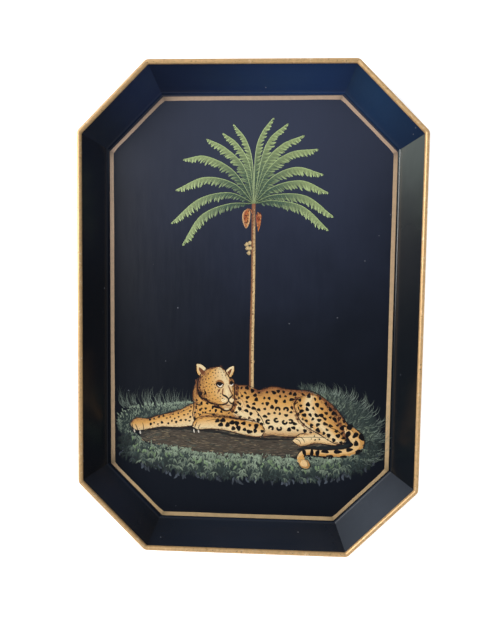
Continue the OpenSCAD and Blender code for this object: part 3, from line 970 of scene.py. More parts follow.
class TRAY_OT_ground(bpy.types.Operator):
    """Paint the bare ground and the grass behind the cat"""
    bl_idname = "tray.ground"
    bl_label = "Ground and far grass"

    def execute(self, context):
        _, colours = settings(context)
        random = np.random.default_rng(11)
        self.earth(random, colours)
        self.left_grass(random, colours)
        self.right_grass(random, colours)
        return {"FINISHED"}

    def earth(self, random, colours):
        """Bare ground: a brown patch covered in level scumbled strokes."""
        earth = np.array(colours.earth)
        brush = Brushwork()
        patch = Patch(EARTH_TOP, EARTH_FOOT)
        soft_ground(brush, patch, earth * 0.7, linear("#262a2b"))
        number = 1500
        s, t = random.uniform(0.03, 0.97, number), random.uniform(0.08, 0.98, number)
        hues = np.array([earth * 0.22, earth * 0.8, earth * 1.7, linear("#8a7a5c"), linear("#454e45")])
        hue = hues[random.choice(len(hues), number, p=(0.24, 0.26, 0.20, 0.14, 0.16))]
        strew(brush, random, patch.at(s, t), (-8, 8), (2.5, 8), (-0.06, 0.06), (0.6, 1.4), (0.05, 0.12),
              hue, LEAF, about=patch.heading(s, t))
        under_foot = [(54, -150), (66, -148), (82, -148), (98, -147), (110, -143)]
        under_legs = [(-120, -134), (-98, -131), (-70, -130), (-40, -132), (-8, -137), (16, -139),
                      (48, -139)]
        line(brush, under_foot, 5.5, 0.16, linear("#171c1d"), low=0.02)
        line(brush, under_legs, 3.4, 0.14, linear("#1c1a17"), low=0.02)
        earth_paint = oil_paint("earth_paint", 420.0, (0.25, 1, 1), depth=0.6, rough=0.6)
        brush.piece("bare_ground", earth_paint)

    def left_grass(self, random, colours):
        """Grass on the left behind the foreleg: leafy dabs, and thin dark blades that stand above them."""
        light, dark, far = tones_of(colours, *GRASS)
        brush = Brushwork()
        patch = Patch(LEFT_TOP, LEFT_FOOT)
        soft_ground(brush, patch, dark * 0.55, linear("#171b24"))
        number = 130
        root = np.column_stack([random.uniform(-138, -58, number), random.uniform(-110, -102, number)])
        strew(brush, random, root, (84, 116), (10, 22), (0.02, 0.24), 0.55, (0.04, 0.06), (far + light) / 2,
              BLADE, 0.6, dapple=(0.4, 1.2))
        number = 430
        s, t = random.uniform(0.03, 0.97, number), random.uniform(0.02, 0.95, number)
        hue = stops(np.clip(1 - t + random.uniform(-0.35, 0.35, number), 0, 1), (0, dark * 0.7),
                    (0.5, (dark + light) * 0.38), (1, light * 0.85))
        strew(brush, random, patch.at(s, t), (35, 150), (2.2, 4.6), (-0.2, 0.2), (1.0, 1.9), (0, 0.03), hue,
              COMMA, 1.15, above=0.06 + 0.06 * t)
        brush.piece("grass_left", grass_paint("left"))

    def right_grass(self, random, colours):
        """Grass behind the rump: fine blades that fan up and out over a leafy base."""
        light, dark, far = tones_of(colours, *GRASS)
        brush = Brushwork()
        patch = Patch(RUMP_IN, RUMP_OUT)
        soft_ground(brush, patch, dark * 0.5, linear("#171b24"))
        number = 560
        s, t = random.uniform(0.04, 0.96, number), random.uniform(0.0, 0.75, number)
        hue = stops(random.uniform(0, 1, number), (0, dark * 0.4), (0.5, dark * 0.9),
                    (0.8, (dark + light) * 0.3), (1, (far + light) * 0.45))
        strew(brush, random, patch.at(s, t), (-30, 30), (5, 12), (-0.25, 0.05), (0.5, 1.1), (0, 0.05), hue,
              BLADE, 0.8, about=np.interp(s, FAN_AT, FAN), above=0.05)
        number = 220
        s, t = random.uniform(0.12, 0.97, number), random.uniform(0.02, 0.55, number)
        hue = stops(random.uniform(0, 1, number), (0, dark * 0.5), (0.6, (dark + light) * 0.34),
                    (1, light * 0.75))
        strew(brush, random, patch.at(s, t), (-60, 60), (2.5, 6), (-0.2, 0.2), (1.2, 2.2), (0, 0.05), hue,
              COMMA, 0.8, about=np.interp(s, FAN_AT, FAN), above=0.10)
        number = 150
        s, t = random.uniform(0.12, 0.93, number), random.uniform(0.55, 1.0, number)
        strew(brush, random, patch.at(s, t), (-15, 25), (7, 14), (-0.3, -0.1), 0.45, (0, 0.02),
              (far + light) / 2, BLADE, 0.7, about=np.interp(s, FAN_AT, EDGE_FAN), above=0.16,
              dapple=(0.7, 1.5))
        brush.piece("grass_right", grass_paint("right"))


FRINGE_LEAVES = 76
CLUMP_ROWS = 6
CLUMP_LEAVES = 6


class TRAY_OT_grass(bpy.types.Operator):
    """Paint the leafy clumps of grass in front of the cat"""
    bl_idname = "tray.grass"
    bl_label = "Front grass"

    def execute(self, context):
        sizes, colours = settings(context)
        light, dark, far = tones_of(colours, *GRASS)
        random = np.random.default_rng(23)
        brush = Brushwork()
        patch = Patch(FRONT_TOP, FRONT_FOOT)
        soft_ground(brush, patch, dark * 0.5, linear("#191d26"))
        self.fringe(brush, random, patch, far)
        for row in range(CLUMP_ROWS):
            self.clumps(brush, random, patch, row, sizes.clumps, light, dark)
        number = 260
        s, t = random.uniform(0.04, 0.86, number), random.uniform(0.0, 0.35, number)
        strew(brush, random, patch.at(s, t), (40, 140), (1.6, 3.8), (-0.2, 0.2), (0.8, 1.5), (0, 0.03),
              light, above=0.27, dapple=(0.5, 1.1))
        number = 60
        s, t = random.uniform(0.05, 0.82, number), random.uniform(0.12, 0.5, number)
        moss = linear("#8ba67c")
        strew(brush, random, patch.at(s, t), (-150, -30), (4, 8), (-0.25, 0.25), (2.5, 4.5), (0, 0.02),
              moss, COMMA, 0.55, above=0.29, dapple=(0.55, 1.0))
        brush.piece("grass_front", grass_paint("front"))
        return {"FINISHED"}

    def fringe(self, brush, random, patch, far):
        """Dark curled leaves that hang over the lower border."""
        number = FRINGE_LEAVES
        s = random.uniform(0.06, 0.95, number)
        root = patch.at(s, np.full(number, 0.95)) + random.uniform((-1.5, -5), (1.5, 2), (number, 2))
        sprinkle(brush, root, random.uniform(-135, -45, number), random.uniform(4, 7.5, number),
                 random.choice([-0.2, 0.2], number), random.uniform(2.6, 4.8, number), -SUNK,
                 random.uniform(0.04, 0.07, number), mottled(random, number, far, (0.25, 0.8)), COMMA,
                 tip=1.3)

    def clumps(self, brush, random, patch, row, number, light, dark):
        """One row of clumps, the lowest row first: each has leaves that droop from its middle."""
        t = 0.95 - 0.9 * row / (CLUMP_ROWS - 1)
        s = (np.arange(number) + 0.5 * (row % 2) + random.uniform(-0.4, 0.4, number)) / number
        middle = patch.at(0.04 + 0.93 * s, np.full(number, t)) + random.uniform(-1.6, 1.6, (number, 2))
        warmth = 0.9 - 0.65 * t - np.interp(s, [0, 0.1, 0.78, 0.95], [0.6, 0, 0, 0.55])
        warmth += random.uniform(-0.55, 0.3, number)
        for leaf in range(CLUMP_LEAVES):
            side = 1 if leaf > 2 else -1
            angle = -158 + 118 * leaf / (CLUMP_LEAVES - 1) + random.uniform(-14, 14, number)
            hue = stops(warmth.clip(0, 1) + random.uniform(-0.2, 0.2, number), (0, dark * 0.45),
                        (0.3, dark * 1.1), (0.55, (dark + light) * 0.42), (0.8, light * 0.85),
                        (1, light * 1.15))
            sprinkle(brush, middle + random.uniform(-0.8, 0.8, (number, 2)), angle,
                     random.uniform(3.8, 7.6, number), random.uniform(0.08, 0.28, number) * side,
                     random.uniform(1.7, 3.0, number), -SUNK,
                     0.06 + 0.035 * row + random.uniform(0, 0.05, number), hue, COMMA, tip=0.5)


# Borders of the cat's parts in mm on the floor: upper then lower, meeting at both ends.
CAT = {
    "far_leg": (
        [(-131, -126), (-124, -119), (-110, -119), (-101, -116), (-86, -112), (-74, -108), (-63, -102),
         (-52, -100), (-45, -108)],
        [(-131, -126), (-124, -133), (-110, -132), (-96, -129), (-79, -129), (-62, -127), (-52, -122),
         (-45, -108)]),
    "chest": (
        [(-48, -66), (-57, -78), (-61, -88), (-61, -96), (-60, -104), (-61, -115), (-57, -121)],
        [(-48, -66), (-22, -74), (-6, -92), (-4, -108), (-18, -118), (-42, -119), (-57, -121)]),
    "body": (
        [(-32, -94), (-24, -86), (-15, -81), (-2, -80), (6, -83), (12, -85), (24, -81), (32, -81),
         (40, -83), (54, -84), (61, -84), (71, -86), (80, -91), (88, -97), (97, -106), (104, -115),
         (109, -122), (114, -129)],
        [(-32, -94), (-24, -112), (-5, -125), (8, -133), (16, -137), (27, -136), (39, -137), (49, -137),
         (74, -136), (97, -136), (108, -134), (114, -129)]),
    "hind_foot": (
        [(48, -140), (53, -135), (57, -132), (65, -131), (74, -130), (86, -131), (104, -136)],
        [(48, -140), (51, -143), (56, -146), (62, -146), (74, -143), (86, -144), (98, -144), (104, -136)]),
    "thigh": (
        [(72, -88), (64, -90), (54, -93), (50, -99), (51, -107), (57, -119), (67, -127), (76, -132),
         (93, -142), (103, -142), (106, -137)],
        [(72, -88), (80, -93), (88, -99), (96, -108), (101, -118), (105, -128), (106, -137)]),
    "near_leg": (
        [(-62, -127), (-58, -119), (-52, -116), (-43, -115), (-32, -115), (-14, -117), (4, -119),
         (14, -122), (19, -130)],
        [(-62, -127), (-55, -131), (-43, -130), (-25, -131), (-8, -135), (4, -137), (14, -137),
         (19, -130)]),
    "head": (
        [(-36, -61), (-44, -63), (-50, -66), (-54, -72), (-56, -80), (-55, -89), (-51, -95), (-44, -99),
         (-36, -102), (-30, -106), (-23, -109)],
        [(-36, -61), (-31, -61), (-26, -64), (-20, -73), (-16, -78), (-15, -84), (-15, -94),
         (-16, -102), (-19, -107), (-23, -109)]),
}
TAIL = [(108, -126), (115, -133), (120, -141), (117, -148), (107, -152), (92, -153), (77, -153), (67, -152),
        (60, -154), (57, -159), (58, -164), (63, -166)]
# Height of each part's coat over the floor, in mm.
LEVELS = {"far_leg": 0.16, "chest": 0.20, "body": 0.18, "hind_foot": 0.20, "thigh": 0.27, "near_leg": 0.27,
          "head": 0.34}
HAIRS = {"far_leg": 260, "chest": 320, "body": 900, "hind_foot": 260, "thigh": 450, "near_leg": 260,
         "head": 420}
# Half width of the tail in mm, by the share of the way from the root.
TAIL_WIDTHS = ((0, 5.5), (0.12, 7.4), (0.3, 5.2), (0.6, 3.7), (0.9, 3.4), (1, 3.4))
TAIL_STEPS = 70
TAIL_LINED = slice(4, 64)     # steps of the tail that have a line on both sides
TAIL_TIP = [(55.5, -164), (57.5, -169), (62.5, -171.5), (67.5, -170), (68.5, -165.5), (66, -161),
            (62.5, -160)]
ROSETTE_ROOM = 4.6       # mm kept clear of closed spots round the middle of each open rosette
CLAWS = ((-125.5, -134), (-119, -135.5), (-59.5, -132.5), (-54.5, -132.5))
OUTLINED = {  # part: the stretch of its upper border that has a line, and of its lower border
    "far_leg": ((0, 0.84), (0, 0.80)), "chest": ((0.1, 0.95), None), "body": ((0.1, 1), (0.42, 0.95)),
    "hind_foot": ((0, 0.3), (0, 1)), "thigh": ((0.14, 1), None), "near_leg": ((0, 1), (0, 1)),
    "head": ((0, 1), (0, 1)),
}
SPOTTED = [  # part, gap and radius in mm, range along, range across
    ("far_leg", 4.0, 1.45, (0.27, 0.97), (0.14, 0.74)), ("chest", 4.3, 1.6, (0.40, 0.96), (0.08, 0.92)),
    ("body", 4.8, 2.15, (0.05, 0.97), (0.07, 0.88)), ("hind_foot", 4.2, 0.95, (0.34, 0.95), (0.3, 0.7)),
    ("thigh", 5.2, 2.4, (0.10, 0.93), (0.10, 0.92)), ("near_leg", 5.2, 2.6, (0.36, 0.93), (0.22, 0.80)),
    ("head", 2.9, 0.7, (0.04, 0.70), (0.05, 0.58)), ("head", 2.9, 0.6, (0.06, 0.30), (0.60, 0.90)),
]
# Shaded borders: part, border, how far in (mm, outwards if negative), strokes, tone, stretch of the border.
FORM_SHADING = [
    ("body", "upper", 7.0, 300, "rust"), ("body", "upper", 2.5, 160, "dark"),
    ("body", "lower", 4.0, 160, "rust"),
    ("far_leg", "upper", 3.5, 110, "rust"), ("far_leg", "upper", 1.2, 50, "dark"),
    ("far_leg", "lower", 1.8, 50, "rust"), ("chest", "upper", 4.5, 150, "rust"),
    ("chest", "lower", 5.0, 120, "rust"),
    ("thigh", "upper", 1.6, 70, "rust"), ("thigh", "lower", 7.0, 170, "rust"),
    ("thigh", "lower", 2.5, 80, "dark"),
    ("near_leg", "upper", 2.0, 80, "rust"), ("near_leg", "lower", 1.8, 70, "rust"),
    ("hind_foot", "lower", 2.0, 50, "rust"), ("hind_foot", "upper", 1.4, 30, "rust"),
    ("head", "upper", 9.0, 280, "rust", 0.03, 0.6), ("head", "upper", 2.5, 80, "dark", 0.05, 0.6),
    ("head", "upper", 3.0, 60, "rust", 0.6, 0.95), ("head", "lower", 2.2, 60, "rust", 0.1, 0.9),
    ("head", "lower", -4.5, 150, "rust", 0.48, 0.97), ("head", "upper", -3.0, 130, "rust", 0.3, 0.9),
    ("head", "upper", -2.0, 90, "dark", 0.55, 0.95), ("near_leg", "upper", -3.5, 150, "rust", 0.15, 0.8),
    ("thigh", "upper", -3.0, 150, "rust", 0.15, 0.6),
]
# Open rosettes low on the flank: centre in mm, and the direction of the gap in degrees.
ROSETTES = [(22, -120, 0), (31, -118, 20), (40, -120, 60), (25, -127, 250), (34, -127, 100), (32, -106, 270),
            (41, -106, 250), (46, -119, 180)]
TAIL_BANDS = [  # share of the way along, radius in mm, stretch along the tail, offset to the left in mm
    (0.01, 3.4, 0.8, 3), (0.05, 3.3, 0.8, -4), (0.11, 3.3, 0.7, 1.5), (0.16, 3.6, 1.3, 5.5),
    (0.20, 3.0, 1.4, -2.6), (0.27, 3.1, 1.8, 3.8), (0.34, 3.0, 2.0, -2.4), (0.41, 2.5, 2.4, 3.9),
    (0.47, 3.3, 2.4, -1.6), (0.55, 2.4, 2.4, 3.0), (0.60, 3.0, 2.0, -1.8), (0.68, 3.0, 0.6, 0.3),
    (0.74, 2.9, 0.55, 0.2), (0.82, 2.8, 0.6, 0.0),
]
CREASES = [  # lines inside the figure, and their share of the line's width
    ([(83, -121), (90, -125), (97, -128), (106, -137)], 0.9),
    ([(6, -104), (10, -110), (15, -117), (18, -124)], 0.9),
    ([(-124, -126), (-122, -131), (-121, -134)], 0.8), ([(-128, -124), (-127, -129), (-126, -132)], 0.7),
    ([(-116, -124), (-115, -129), (-115, -133)], 0.7), ([(-56, -122), (-58, -127), (-58, -131)], 0.8),
    ([(-52, -124), (-54, -128), (-53, -131)], 0.7), ([(-46, -121), (-38, -119), (-28, -119)], 0.5),
    ([(52, -138), (56, -140), (58, -144)], 0.7), ([(55, -135), (60, -138), (62, -142)], 0.7),
    ([(-49, -112), (-30, -114), (-10, -117), (8, -119)], 0.8),
]
FACE_LINES = [  # points, share of the line's width, colour
    ([(-34, -80.5), (-31, -82.5), (-28, -80)], 1.0, "white"),
    ([(-20.5, -80), (-18.5, -81), (-16.5, -79)], 0.9, "white"),
    ([(-36, -79), (-34, -82), (-31, -84), (-28, -82.5), (-27, -79.5)], 0.9, "ink"),
    ([(-28.5, -90.5), (-27, -92), (-24.5, -93), (-21.5, -96)], 2.1, "ink"),
    ([(-17.5, -90.5), (-18, -92.5), (-19.5, -94), (-21.5, -96)], 1.8, "ink"),
    ([(-21.5, -95.5), (-21.5, -98.5)], 2.0, "ink"),
    ([(-33, -102), (-30, -102.5), (-26.5, -102), (-23.5, -100.5), (-21.5, -98)], 1.9, "ink"),
    ([(-21.5, -98), (-19, -100.5), (-17, -101), (-15.5, -98.5)], 1.6, "ink"),
    ([(-56, -79), (-55.5, -86), (-54, -92), (-51, -95.5), (-47, -96.5), (-43.5, -99.5), (-40, -101.5),
      (-33, -102)], 1.8, "ink"),
    ([(-33, -102), (-31, -106), (-27.5, -108.5), (-23.5, -109), (-19, -107), (-16.5, -103), (-15.5, -98.5)],
     1.5, "ink"),
    ([(-27.5, -84), (-28, -87), (-28.5, -91)], 1.5, "rust"),
    ([(-22, -81), (-20, -86), (-17.5, -91)], 1.4, "rust"),
    ([(-31, -85), (-32, -87), (-33.5, -89)], 1.7, "rust"),
    ([(-27, -100), (-23, -103), (-19, -102.5)], 1.0, "rust"),
    ([(-53.5, -88.5), (-52, -91.5), (-51, -88.5)], 2.8, "ink"),
    ([(-49, -91.5), (-47, -90.5), (-47.5, -87.5)], 2.2, "ink"),
    ([(-46, -64), (-48, -61), (-52, -58.5), (-57, -58), (-58, -63), (-56, -69), (-52, -73)], 0.7, "ink"),
    ([(-25, -65), (-21, -61), (-16, -59.5), (-15.5, -64), (-17, -69), (-20, -73)], 0.7, "ink"),
]
EARS = [  # outer upper and lower border, inner upper and lower border
    ([(-46, -64), (-48, -61), (-52, -58.5), (-57, -58)], [(-46, -64), (-51, -72), (-56, -68), (-57, -58)],
     [(-47, -66), (-51, -62), (-55, -61)], [(-47, -66), (-50.5, -71), (-54, -67), (-55, -61)]),
    ([(-25, -65), (-21, -61), (-16, -59.5)], [(-25, -65), (-20, -72), (-16, -66), (-16, -59.5)],
     [(-23.5, -66), (-21, -63), (-18, -62)], [(-23.5, -66), (-21, -71), (-19, -67), (-18, -62)]),
]
FACE_DABS = [  # centres, radii, height over the head, tone, stretch, its heading, lobes, points around
    ([(-31.5, -79)], 4.9, 0.025, "soft", 1.1, 0, 0.08, 20),
    ([(-19, -77)], 3.4, 0.025, "soft", 0.75, 0, 0.08, 18),
    ([(-31.5, -79.5)], 3.5, 0.035, "dark", 1.6, -4, 0.06, 18),
    ([(-18.5, -78)], 2.4, 0.035, "dark", 1.0, 0, 0.06, 16),
    ([(-35, -105)], 2.5, 0.035, "jaw", 2.6, -18, 0.10, 16),
    ([(-23.5, -104)], 3.9, 0.03, "chin", 1.5, 5, 0.05, 18),
    ([(-23.5, -107)], 1.9, 0.036, "pale", 2.6, 4, 0.05, 14),
    ([(-26.5, -97.5), (-18, -97)], (3.0, 2.3), 0.025, "cream", 1.3, 0, 0.05, 16),
    ([(-23.5, -88.5)], 2.6, 0.027, "cream", 0.5, 0, 0.05, 16),
]


def tail_course():
    """The tail: points along its middle, unit vectors to its left, and half widths, all in mm."""
    path = spline(TAIL, TAIL_STEPS)
    return path, across(path), np.interp(np.linspace(0, 1, TAIL_STEPS), *zip(*TAIL_WIDTHS))


class TRAY_OT_cat(bpy.types.Operator):
    """Paint the spotted cat: coat, spots, outlines and face"""
    bl_idname = "tray.cat"
    bl_label = "Cat"

    def execute(self, context):
        sizes, colours = settings(context)
        random = np.random.default_rng(41)
        parts = {name: Patch(*borders) for name, borders in CAT.items()}
        self.fur(random, colours, parts)
        self.spots(random, colours, parts)
        self.outlines(sizes, colours, parts)
        self.face(random, sizes, colours)
        return {"FINISHED"}

    def fur(self, random, colours, parts):
        """The coat's ground colours, part by part, with fine hairs over each."""
        coat, cream, rust = tones_of(colours, "coat", "cream", "rust")
        tan, fawn = (coat + rust) / 2, (coat + cream) / 2
        bands = {
            "far_leg": ((0, tan), (0.3, coat), (0.7, fawn), (1, cream * 0.9)),
            "chest": ((0, tan), (0.2, coat), (0.6, coat), (1, tan)),
            "body": ((0, rust), (0.12, tan), (0.3, coat), (0.55, fawn), (0.78, cream), (1, tan)),
            "hind_foot": ((0, coat), (0.4, cream), (0.8, fawn), (1, tan)),
            "thigh": ((0, tan), (0.12, coat), (0.35, cream * 0.95), (0.6, coat), (0.85, tan), (1, rust)),
            "near_leg": ((0, tan), (0.22, coat), (0.55, fawn), (0.85, cream * 0.9), (1, tan)),
            "head": ((0, tan * 0.7), (0.2, (tan + coat) / 2), (0.45, coat), (0.72, fawn),
                     (0.9, cream * 0.95), (1.1, coat)),
        }
        slants = {
            "far_leg": lambda s, t: t + 0.25 * (s - 0.5),
            "thigh": lambda s, t: np.maximum(t + 0.3 * (s - 0.5), 0.95 - 6 * s),
            "head": lambda s, t: t + 0.15 * s,
        }

        def tone(name, s, t):
            place = slants[name](s, t) if name in slants else t + 0 * s
            return stops(place, *bands[name])

        brush = Brushwork()
        for name, patch in parts.items():
            level = LEVELS[name]
            brush.fill(patch, -SUNK, level, lambda s, t: tone(name, s, t))
            number = HAIRS[name]
            s, t = random.uniform(0.08, 0.95, number), random.uniform(0.06, 0.94, number)
            hue = shade(tone(name, s, t), random.uniform(0.68, 1.25, number))
            lean = 20 if name == "chest" else -14
            strew(brush, random, patch.at(s, t), (-14, 14), (1.6, 3.6), (-0.1, 0.1), 0.4, (0.004, 0.016),
                  hue, LEAF, about=patch.heading(s, t) + lean, above=level, low=level - 0.01)
        self.shading(brush, random, parts, colours)
        self.tail(brush, random, coat, cream, tan)
        fur_paint = oil_paint("fur_paint", 600.0, (0.6, 1, 1), depth=0.3, rough=0.5, flake=0.2)
        brush.piece("cat_coat", fur_paint)

    def shading(self, brush, random, parts, colours):
        """Hair-fine darker strokes laid along the borders, where the form turns away."""
        rust = np.array(colours.rust)
        for name, side, reach, number, tone, *span in FORM_SHADING:
            patch = parts[name]
            border = patch.upper if side == "upper" else patch.lower
            middle = patch.at(np.linspace(0, 1, patch.rows), 0.5)
            first, last = span or (0.04, 0.96)
            pick = random.integers(int(first * patch.rows), int(last * patch.rows), number)
            inward = middle[pick] - border[pick]
            inward /= np.maximum(np.linalg.norm(inward, axis=1, keepdims=True), 1e-6)
            depth = 0.4 + reach * random.uniform(0, 1, number) ** 1.5
            way = np.gradient(border, axis=0)[pick]
            hue = {"rust": rust, "dark": rust * 0.4}[tone]
            level = LEVELS[name] - (0.05 if reach < 0 else 0)
            start = border[pick] + inward * depth[:, None]
            strew(brush, random, start, (-20, 20), (1.6, 3.4), (-0.1, 0.1), 0.38, (0.012, 0.03), hue,
                  LEAF, about=bearing(way), above=level, low=level - 0.01,
                  dapple=(0.75, 1.3))

    def tail(self, brush, random, coat, cream, tan):
        """The tail: three strokes side by side, wide at the root, with a round tip."""
        path, left, half = tail_course()
        for share, tone, lift in ((0.45, (coat + tan) / 2, 0.19), (-0.45, (coat + cream) / 2, 0.20),
                                  (0.0, coat * 0.7 + cream * 0.3, 0.23)):
            brush.lay((path + left * (share * half)[:, None])[None], (half * 0.58)[None], -SUNK, lift,
                      np.broadcast_to(tone, (1, TAIL_STEPS, 3)), edge=0.92)
        brush.dabs([(58.5, -160.5)], 4.3, -SUNK, 0.245, coat, lobes=0.05, around=20)
        brush.dabs([(62.5, -165.5)], 5.8, -SUNK, 0.25, tan, 1.15, -35, 0.05, 22)
        brush.dabs([(61.5, -165)], 4.4, 0.1, 0.26, (coat + cream) / 2, 1.1, -35, 0.08, 20)
        number = 150
        s = random.uniform(0.03, 0.95, number)
        pick = (s * (TAIL_STEPS - 1)).astype(int)
        at = path[pick] + left[pick] * (random.uniform(-0.85, 0.85, number) * half[pick])[:, None]
        way = np.gradient(path, axis=0)[pick]
        strew(brush, random, at, bearing(way), (1.5, 3), 0.0, 0.42, (0, 0.015), coat * 0.8 + cream * 0.2,
              LEAF, above=0.235, low=0.12, dapple=(0.75, 1.35))

    def spots(self, random, colours, parts):
        """Rows of uneven spots across each part, open rosettes low on the flank, and bands on the tail."""
        spot = np.array(colours.spot)
        brush = Brushwork()
        open_spots = np.array([place[:2] for place in ROSETTES])
        for name, gap, radius, along, over in SPOTTED:
            s, t = scatter(parts[name], random, gap, along, over)
            apart = np.linalg.norm(parts[name].at(s, t)[:, None] - open_spots, axis=2).min(1)
            s, t = s[apart > ROSETTE_ROOM], t[apart > ROSETTE_ROOM]
            number = len(s)
            size = radius * random.uniform(0.62, 1.12, number)
            level = LEVELS[name] + 0.025
            high = level + random.uniform(0.01, 0.022, number)
            tone = mottled(random, number, spot, (0.6, 1.2))
            stretch = random.uniform(0.75, 1.6, number)
            turn = parts[name].heading(s, t) + random.uniform(-30, 30, number)
            brush.dabs(parts[name].at(s, t), size, level - 0.02, high, tone, stretch, turn, 0.16, 10)
        for x, y, turn in ROSETTES:
            open_ring = np.radians(turn + np.linspace(40, 320, 9))
            ring = np.column_stack([x + 2.2 * np.cos(open_ring), y + 1.8 * np.sin(open_ring)])
            line(brush, ring, 2.5, LEVELS["body"] + 0.05, spot, 14, 0.6, low=0.2)
        steps = 100
        path = spline(TAIL, steps)
        left = across(path)
        for share, radius, reach, offset in TAIL_BANDS:
            k = int(share * (steps - 1))
            middle = path[k] + left[k] * offset
            way = path[min(k + 1, steps - 1)] - path[max(k - 1, 0)]
            brush.dabs([middle], radius, 0.12, 0.27, spot, stretch=reach, turn=bearing(way), lobes=0.12,
                       around=14)
        spot_paint = oil_paint("spot_paint", 800.0, depth=0.4, rough=0.42, flake=0.1)
        brush.piece("cat_spots", spot_paint)

    def outlines(self, sizes, colours, parts):
        """Dark lines round the parts, drawn over their borders."""
        ink = np.array(colours.line)
        width = sizes.line_width / MM
        brush = Brushwork()
        for name, ranges in OUTLINED.items():
            for border, share in zip((parts[name].upper, parts[name].lower), ranges):
                if share is None:
                    continue
                first, last = (int(v * (len(border) - 1)) for v in share)
                middle = parts[name].at(np.linspace(0, 1, len(border)), 0.5)
                inward = middle - border
                inward *= width * 0.4 / np.maximum(np.linalg.norm(inward, axis=1, keepdims=True), 1)
                part = (border + inward)[first:last + 1]
                u = np.linspace(0, 1, len(part))
                half = width / 2 * (0.5 + 0.5 * np.sin(np.pi * u) ** 0.5) * (1 + 0.25 * np.sin(u * 23))
                brush.lay(part[None], half[None], LEVELS[name], LEVELS[name] + 0.05,
                          np.broadcast_to(ink, (1, len(part), 3)), edge=1.0)
        for points, share in CREASES:
            line(brush, points, width * share, 0.35, ink, low=0.29)
        path, left, half = tail_course()
        for side in (1, -1):
            edge = (path + left * (side * half)[:, None])[TAIL_LINED]
            brush.lay(edge[None], np.full((1, len(edge)), width * 0.5), 0.16, 0.25,
                      np.broadcast_to(ink, (1, len(edge), 3)), edge=1.0)
        line(brush, TAIL_TIP, width, 0.30, ink, low=0.26)
        horn = linear("#d9d2c2")
        for x, y in CLAWS:
            line(brush, [(x, y + 2.6), (x + 0.4, y), (x + 0.9, y - 1.6)], 1.7, 0.33, horn, low=0.0)
        ink_paint = oil_paint("ink_paint", 800.0, depth=0.3, rough=0.45, flake=0.15)
        brush.piece("cat_outline", ink_paint)

    def face(self, random, sizes, colours):
        """Ears, eyes, nose, mouth and chin."""
        coat, cream, rust, ink = tones_of(colours, "coat", "cream", "rust", "line")
        brush = Brushwork()
        top = LEVELS["head"]
        for upper, lower, inner_upper, inner_lower in EARS:
            brush.fill(Patch(upper, lower, 30), -SUNK, top + 0.02, lambda s, t: stops(
                t + 0 * s, (0, cream), (0.5, cream * 0.9), (1, coat)))
            brush.fill(Patch(inner_upper, inner_lower, 24), 0.1, top + 0.04, lambda s, t: stops(
                t + 0 * s, (0, rust), (0.4, rust * 0.6), (1, rust * 0.9)))
        tones = {"soft": (rust + coat * 0.4) * 0.6, "dark": ink * 0.6, "jaw": ink * 0.8,
                 "chin": (cream + coat + rust * 0.6) * 0.37, "pale": cream * 0.85, "cream": cream}
        for centres, radii, rise, tone, stretch, turn, lobes, around in FACE_DABS:
            brush.dabs(centres, radii, 0.2, top + rise, tones[tone], stretch, turn, lobes, around)
        tones = {"ink": ink, "rust": rust * 0.8, "white": linear("#f2ede0")}
        for points, share, tone in FACE_LINES:
            line(brush, points, sizes.line_width / MM * share, top + 0.075, tones[tone], low=top + 0.04)
        pupils = [(-31, -79), (-18.5, -78)]
        brush.dabs(pupils, (1.6, 1.2), top + 0.05, top + 0.09, ink * 0.25, 1.1, 0, 0.03, 14)
        whisker_spots = random.uniform((-33, -99.5), (-24, -95.5), (14, 2))
        brush.dabs(whisker_spots, 0.3, top, top + 0.06, ink, around=8)
        face_paint = oil_paint("face_paint", 800.0, depth=0.2, rough=0.45, flake=0.1)
        brush.piece("cat_face", face_paint)


# ---------------------------------------------------------------- studio

CAMERA_AT = (0.0188, 0.0224, 0.4852)
CAMERA_TURN = (-2.772, 2.209, 0.802)
CAMERA_LENS = 25.92
LAMPS = [  # name, place (m), size (m), watts, colour, and whether it shows in gloss
    ("haze_card", (0.02, 0.74, 1.5), (1.3, 0.5), 1.3, (0.72, 0.82, 1.0), True),
    ("left_softbox", (-1.5, 0.5, 1.2), (1.0, 1.0), 32, (1.0, 0.98, 0.95), True),
    ("right_softbox", (1.5, -0.2, 1.2), (1.0, 1.0), 6, (1.0, 0.98, 0.95), False),
    ("front_softbox", (0.1, -1.6, 1.1), (1.2, 0.8), 14, (1.0, 0.98, 0.95), False),
]


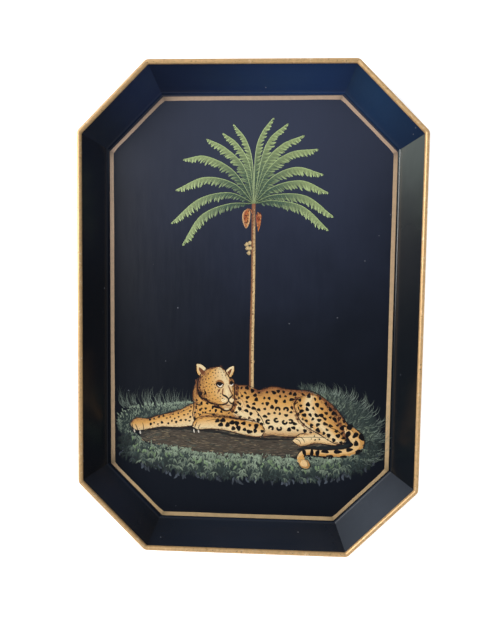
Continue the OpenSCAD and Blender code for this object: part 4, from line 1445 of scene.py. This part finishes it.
class TRAY_OT_studio(bpy.types.Operator):
    """Set up the pale floor, the soft lights and the camera"""
    bl_idname = "tray.studio"
    bl_label = "Studio"

    def execute(self, context):
        self.floor(context)
        self.world(context)
        for name, place, size, watts, hue, mirrored in LAMPS:
            lamp = bpy.data.lights.new(name, "AREA")
            lamp.shape = "RECTANGLE"
            lamp.size, lamp.size_y = size
            lamp.energy = watts
            lamp.color = hue
            made = bpy.data.objects.new(name, lamp)
            made.location = place
            made.visible_glossy = mirrored
            made.rotation_euler = made.location.to_track_quat("Z", "Y").to_euler()
            context.scene.collection.objects.link(made)
        self.camera(context)
        return {"FINISHED"}

    def floor(self, context):
        """A wide round floor: points at radius r and angle a."""
        radius, around = 4.0, 64
        a = np.linspace(0, 2 * np.pi, around, endpoint=False)
        level = CAD_BOX[0].z - 0.2 * MM
        rim = np.column_stack([radius * np.cos(a), radius * np.sin(a), np.full(around, level)])
        mesh = bpy.data.meshes.new("studio_floor")
        mesh.from_pydata(rim.tolist(), [], [list(range(around))])
        material, graph, shader = new_material("studio_floor")
        cloud = graph.ramp(graph.noise(graph.position(), 2.0), 0.3, 0.7, 0.0, 1.0)
        tone = graph.mix(cloud, (0.86, 0.86, 0.86), (0.9, 0.9, 0.9))
        graph.feed(shader.inputs["Base Color"], tone)
        shader.inputs["Roughness"].default_value = 0.8
        shader.inputs["Emission Color"].default_value = (1, 1, 1, 1)
        shader.inputs["Emission Strength"].default_value = 0.65
        mesh.materials.append(material)
        made = bpy.data.objects.new("studio_floor", mesh)
        context.scene.collection.objects.link(made)

    def world(self, context):
        """A pale room that is bright near the horizon and dim overhead."""
        world = bpy.data.worlds.new("studio")
        world.use_nodes = True
        context.scene.world = world
        graph = Graph(world.node_tree)
        sky = graph.add("ShaderNodeTexCoord").outputs["Generated"]
        height = graph.add("ShaderNodeSeparateXYZ", [(0, sky)])
        level = graph.ramp(height.outputs["Z"], 0.45, 0.8)
        colour = graph.mix(level, (0.36, 0.37, 0.39), (0.06, 0.075, 0.11))
        graph.feed(world.node_tree.nodes["Background"].inputs["Color"], colour)
        context.scene.view_settings.view_transform = "Standard"

    def camera(self, context):
        """The camera, nearly straight above the tray."""
        data = bpy.data.cameras.new("camera")
        data.sensor_width = 36
        data.lens = CAMERA_LENS
        data.clip_start, data.clip_end = 0.01, 50
        made = bpy.data.objects.new("camera", data)
        made.location = CAMERA_AT
        made.rotation_euler = np.radians(CAMERA_TURN)
        context.scene.collection.objects.link(made)
        context.scene.camera = made


class TRAY_PT_panel(bpy.types.Panel):
    """The tray's steps, sizes and colours"""
    bl_idname = "TRAY_PT_panel"
    bl_label = "Serving tray"
    bl_space_type = "VIEW_3D"
    bl_region_type = "UI"
    bl_category = "Tray"

    def draw(self, context):
        for operator in OPERATORS:
            self.layout.operator(operator.bl_idname)
        for group in settings(context):
            for key in group.bl_rna.properties.keys()[2:]:
                self.layout.prop(group, key)


OPERATORS = (TRAY_OT_lacquer, TRAY_OT_gilding, TRAY_OT_pinstripe, TRAY_OT_palm, TRAY_OT_ground, TRAY_OT_cat,
             TRAY_OT_grass, TRAY_OT_studio)
CLASSES = (TraySizes, TrayColours, *OPERATORS, TRAY_PT_panel)


def register():
    """Register the classes and hang the settings on the scene."""
    for item in CLASSES:
        bpy.utils.register_class(item)
    bpy.types.Scene.tray_sizes = PointerProperty(type=TraySizes)
    bpy.types.Scene.tray_colours = PointerProperty(type=TrayColours)


def unregister():
    """Undo register()."""
    del bpy.types.Scene.tray_colours
    del bpy.types.Scene.tray_sizes
    for item in reversed(CLASSES):
        bpy.utils.unregister_class(item)


def main():
    """Register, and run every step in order."""
    register()
    bpy.ops.tray.lacquer()
    bpy.ops.tray.gilding()
    bpy.ops.tray.pinstripe()
    bpy.ops.tray.palm()
    bpy.ops.tray.ground()
    bpy.ops.tray.cat()
    bpy.ops.tray.grass()
    bpy.ops.tray.studio()


if __name__ == "__main__":
    main()
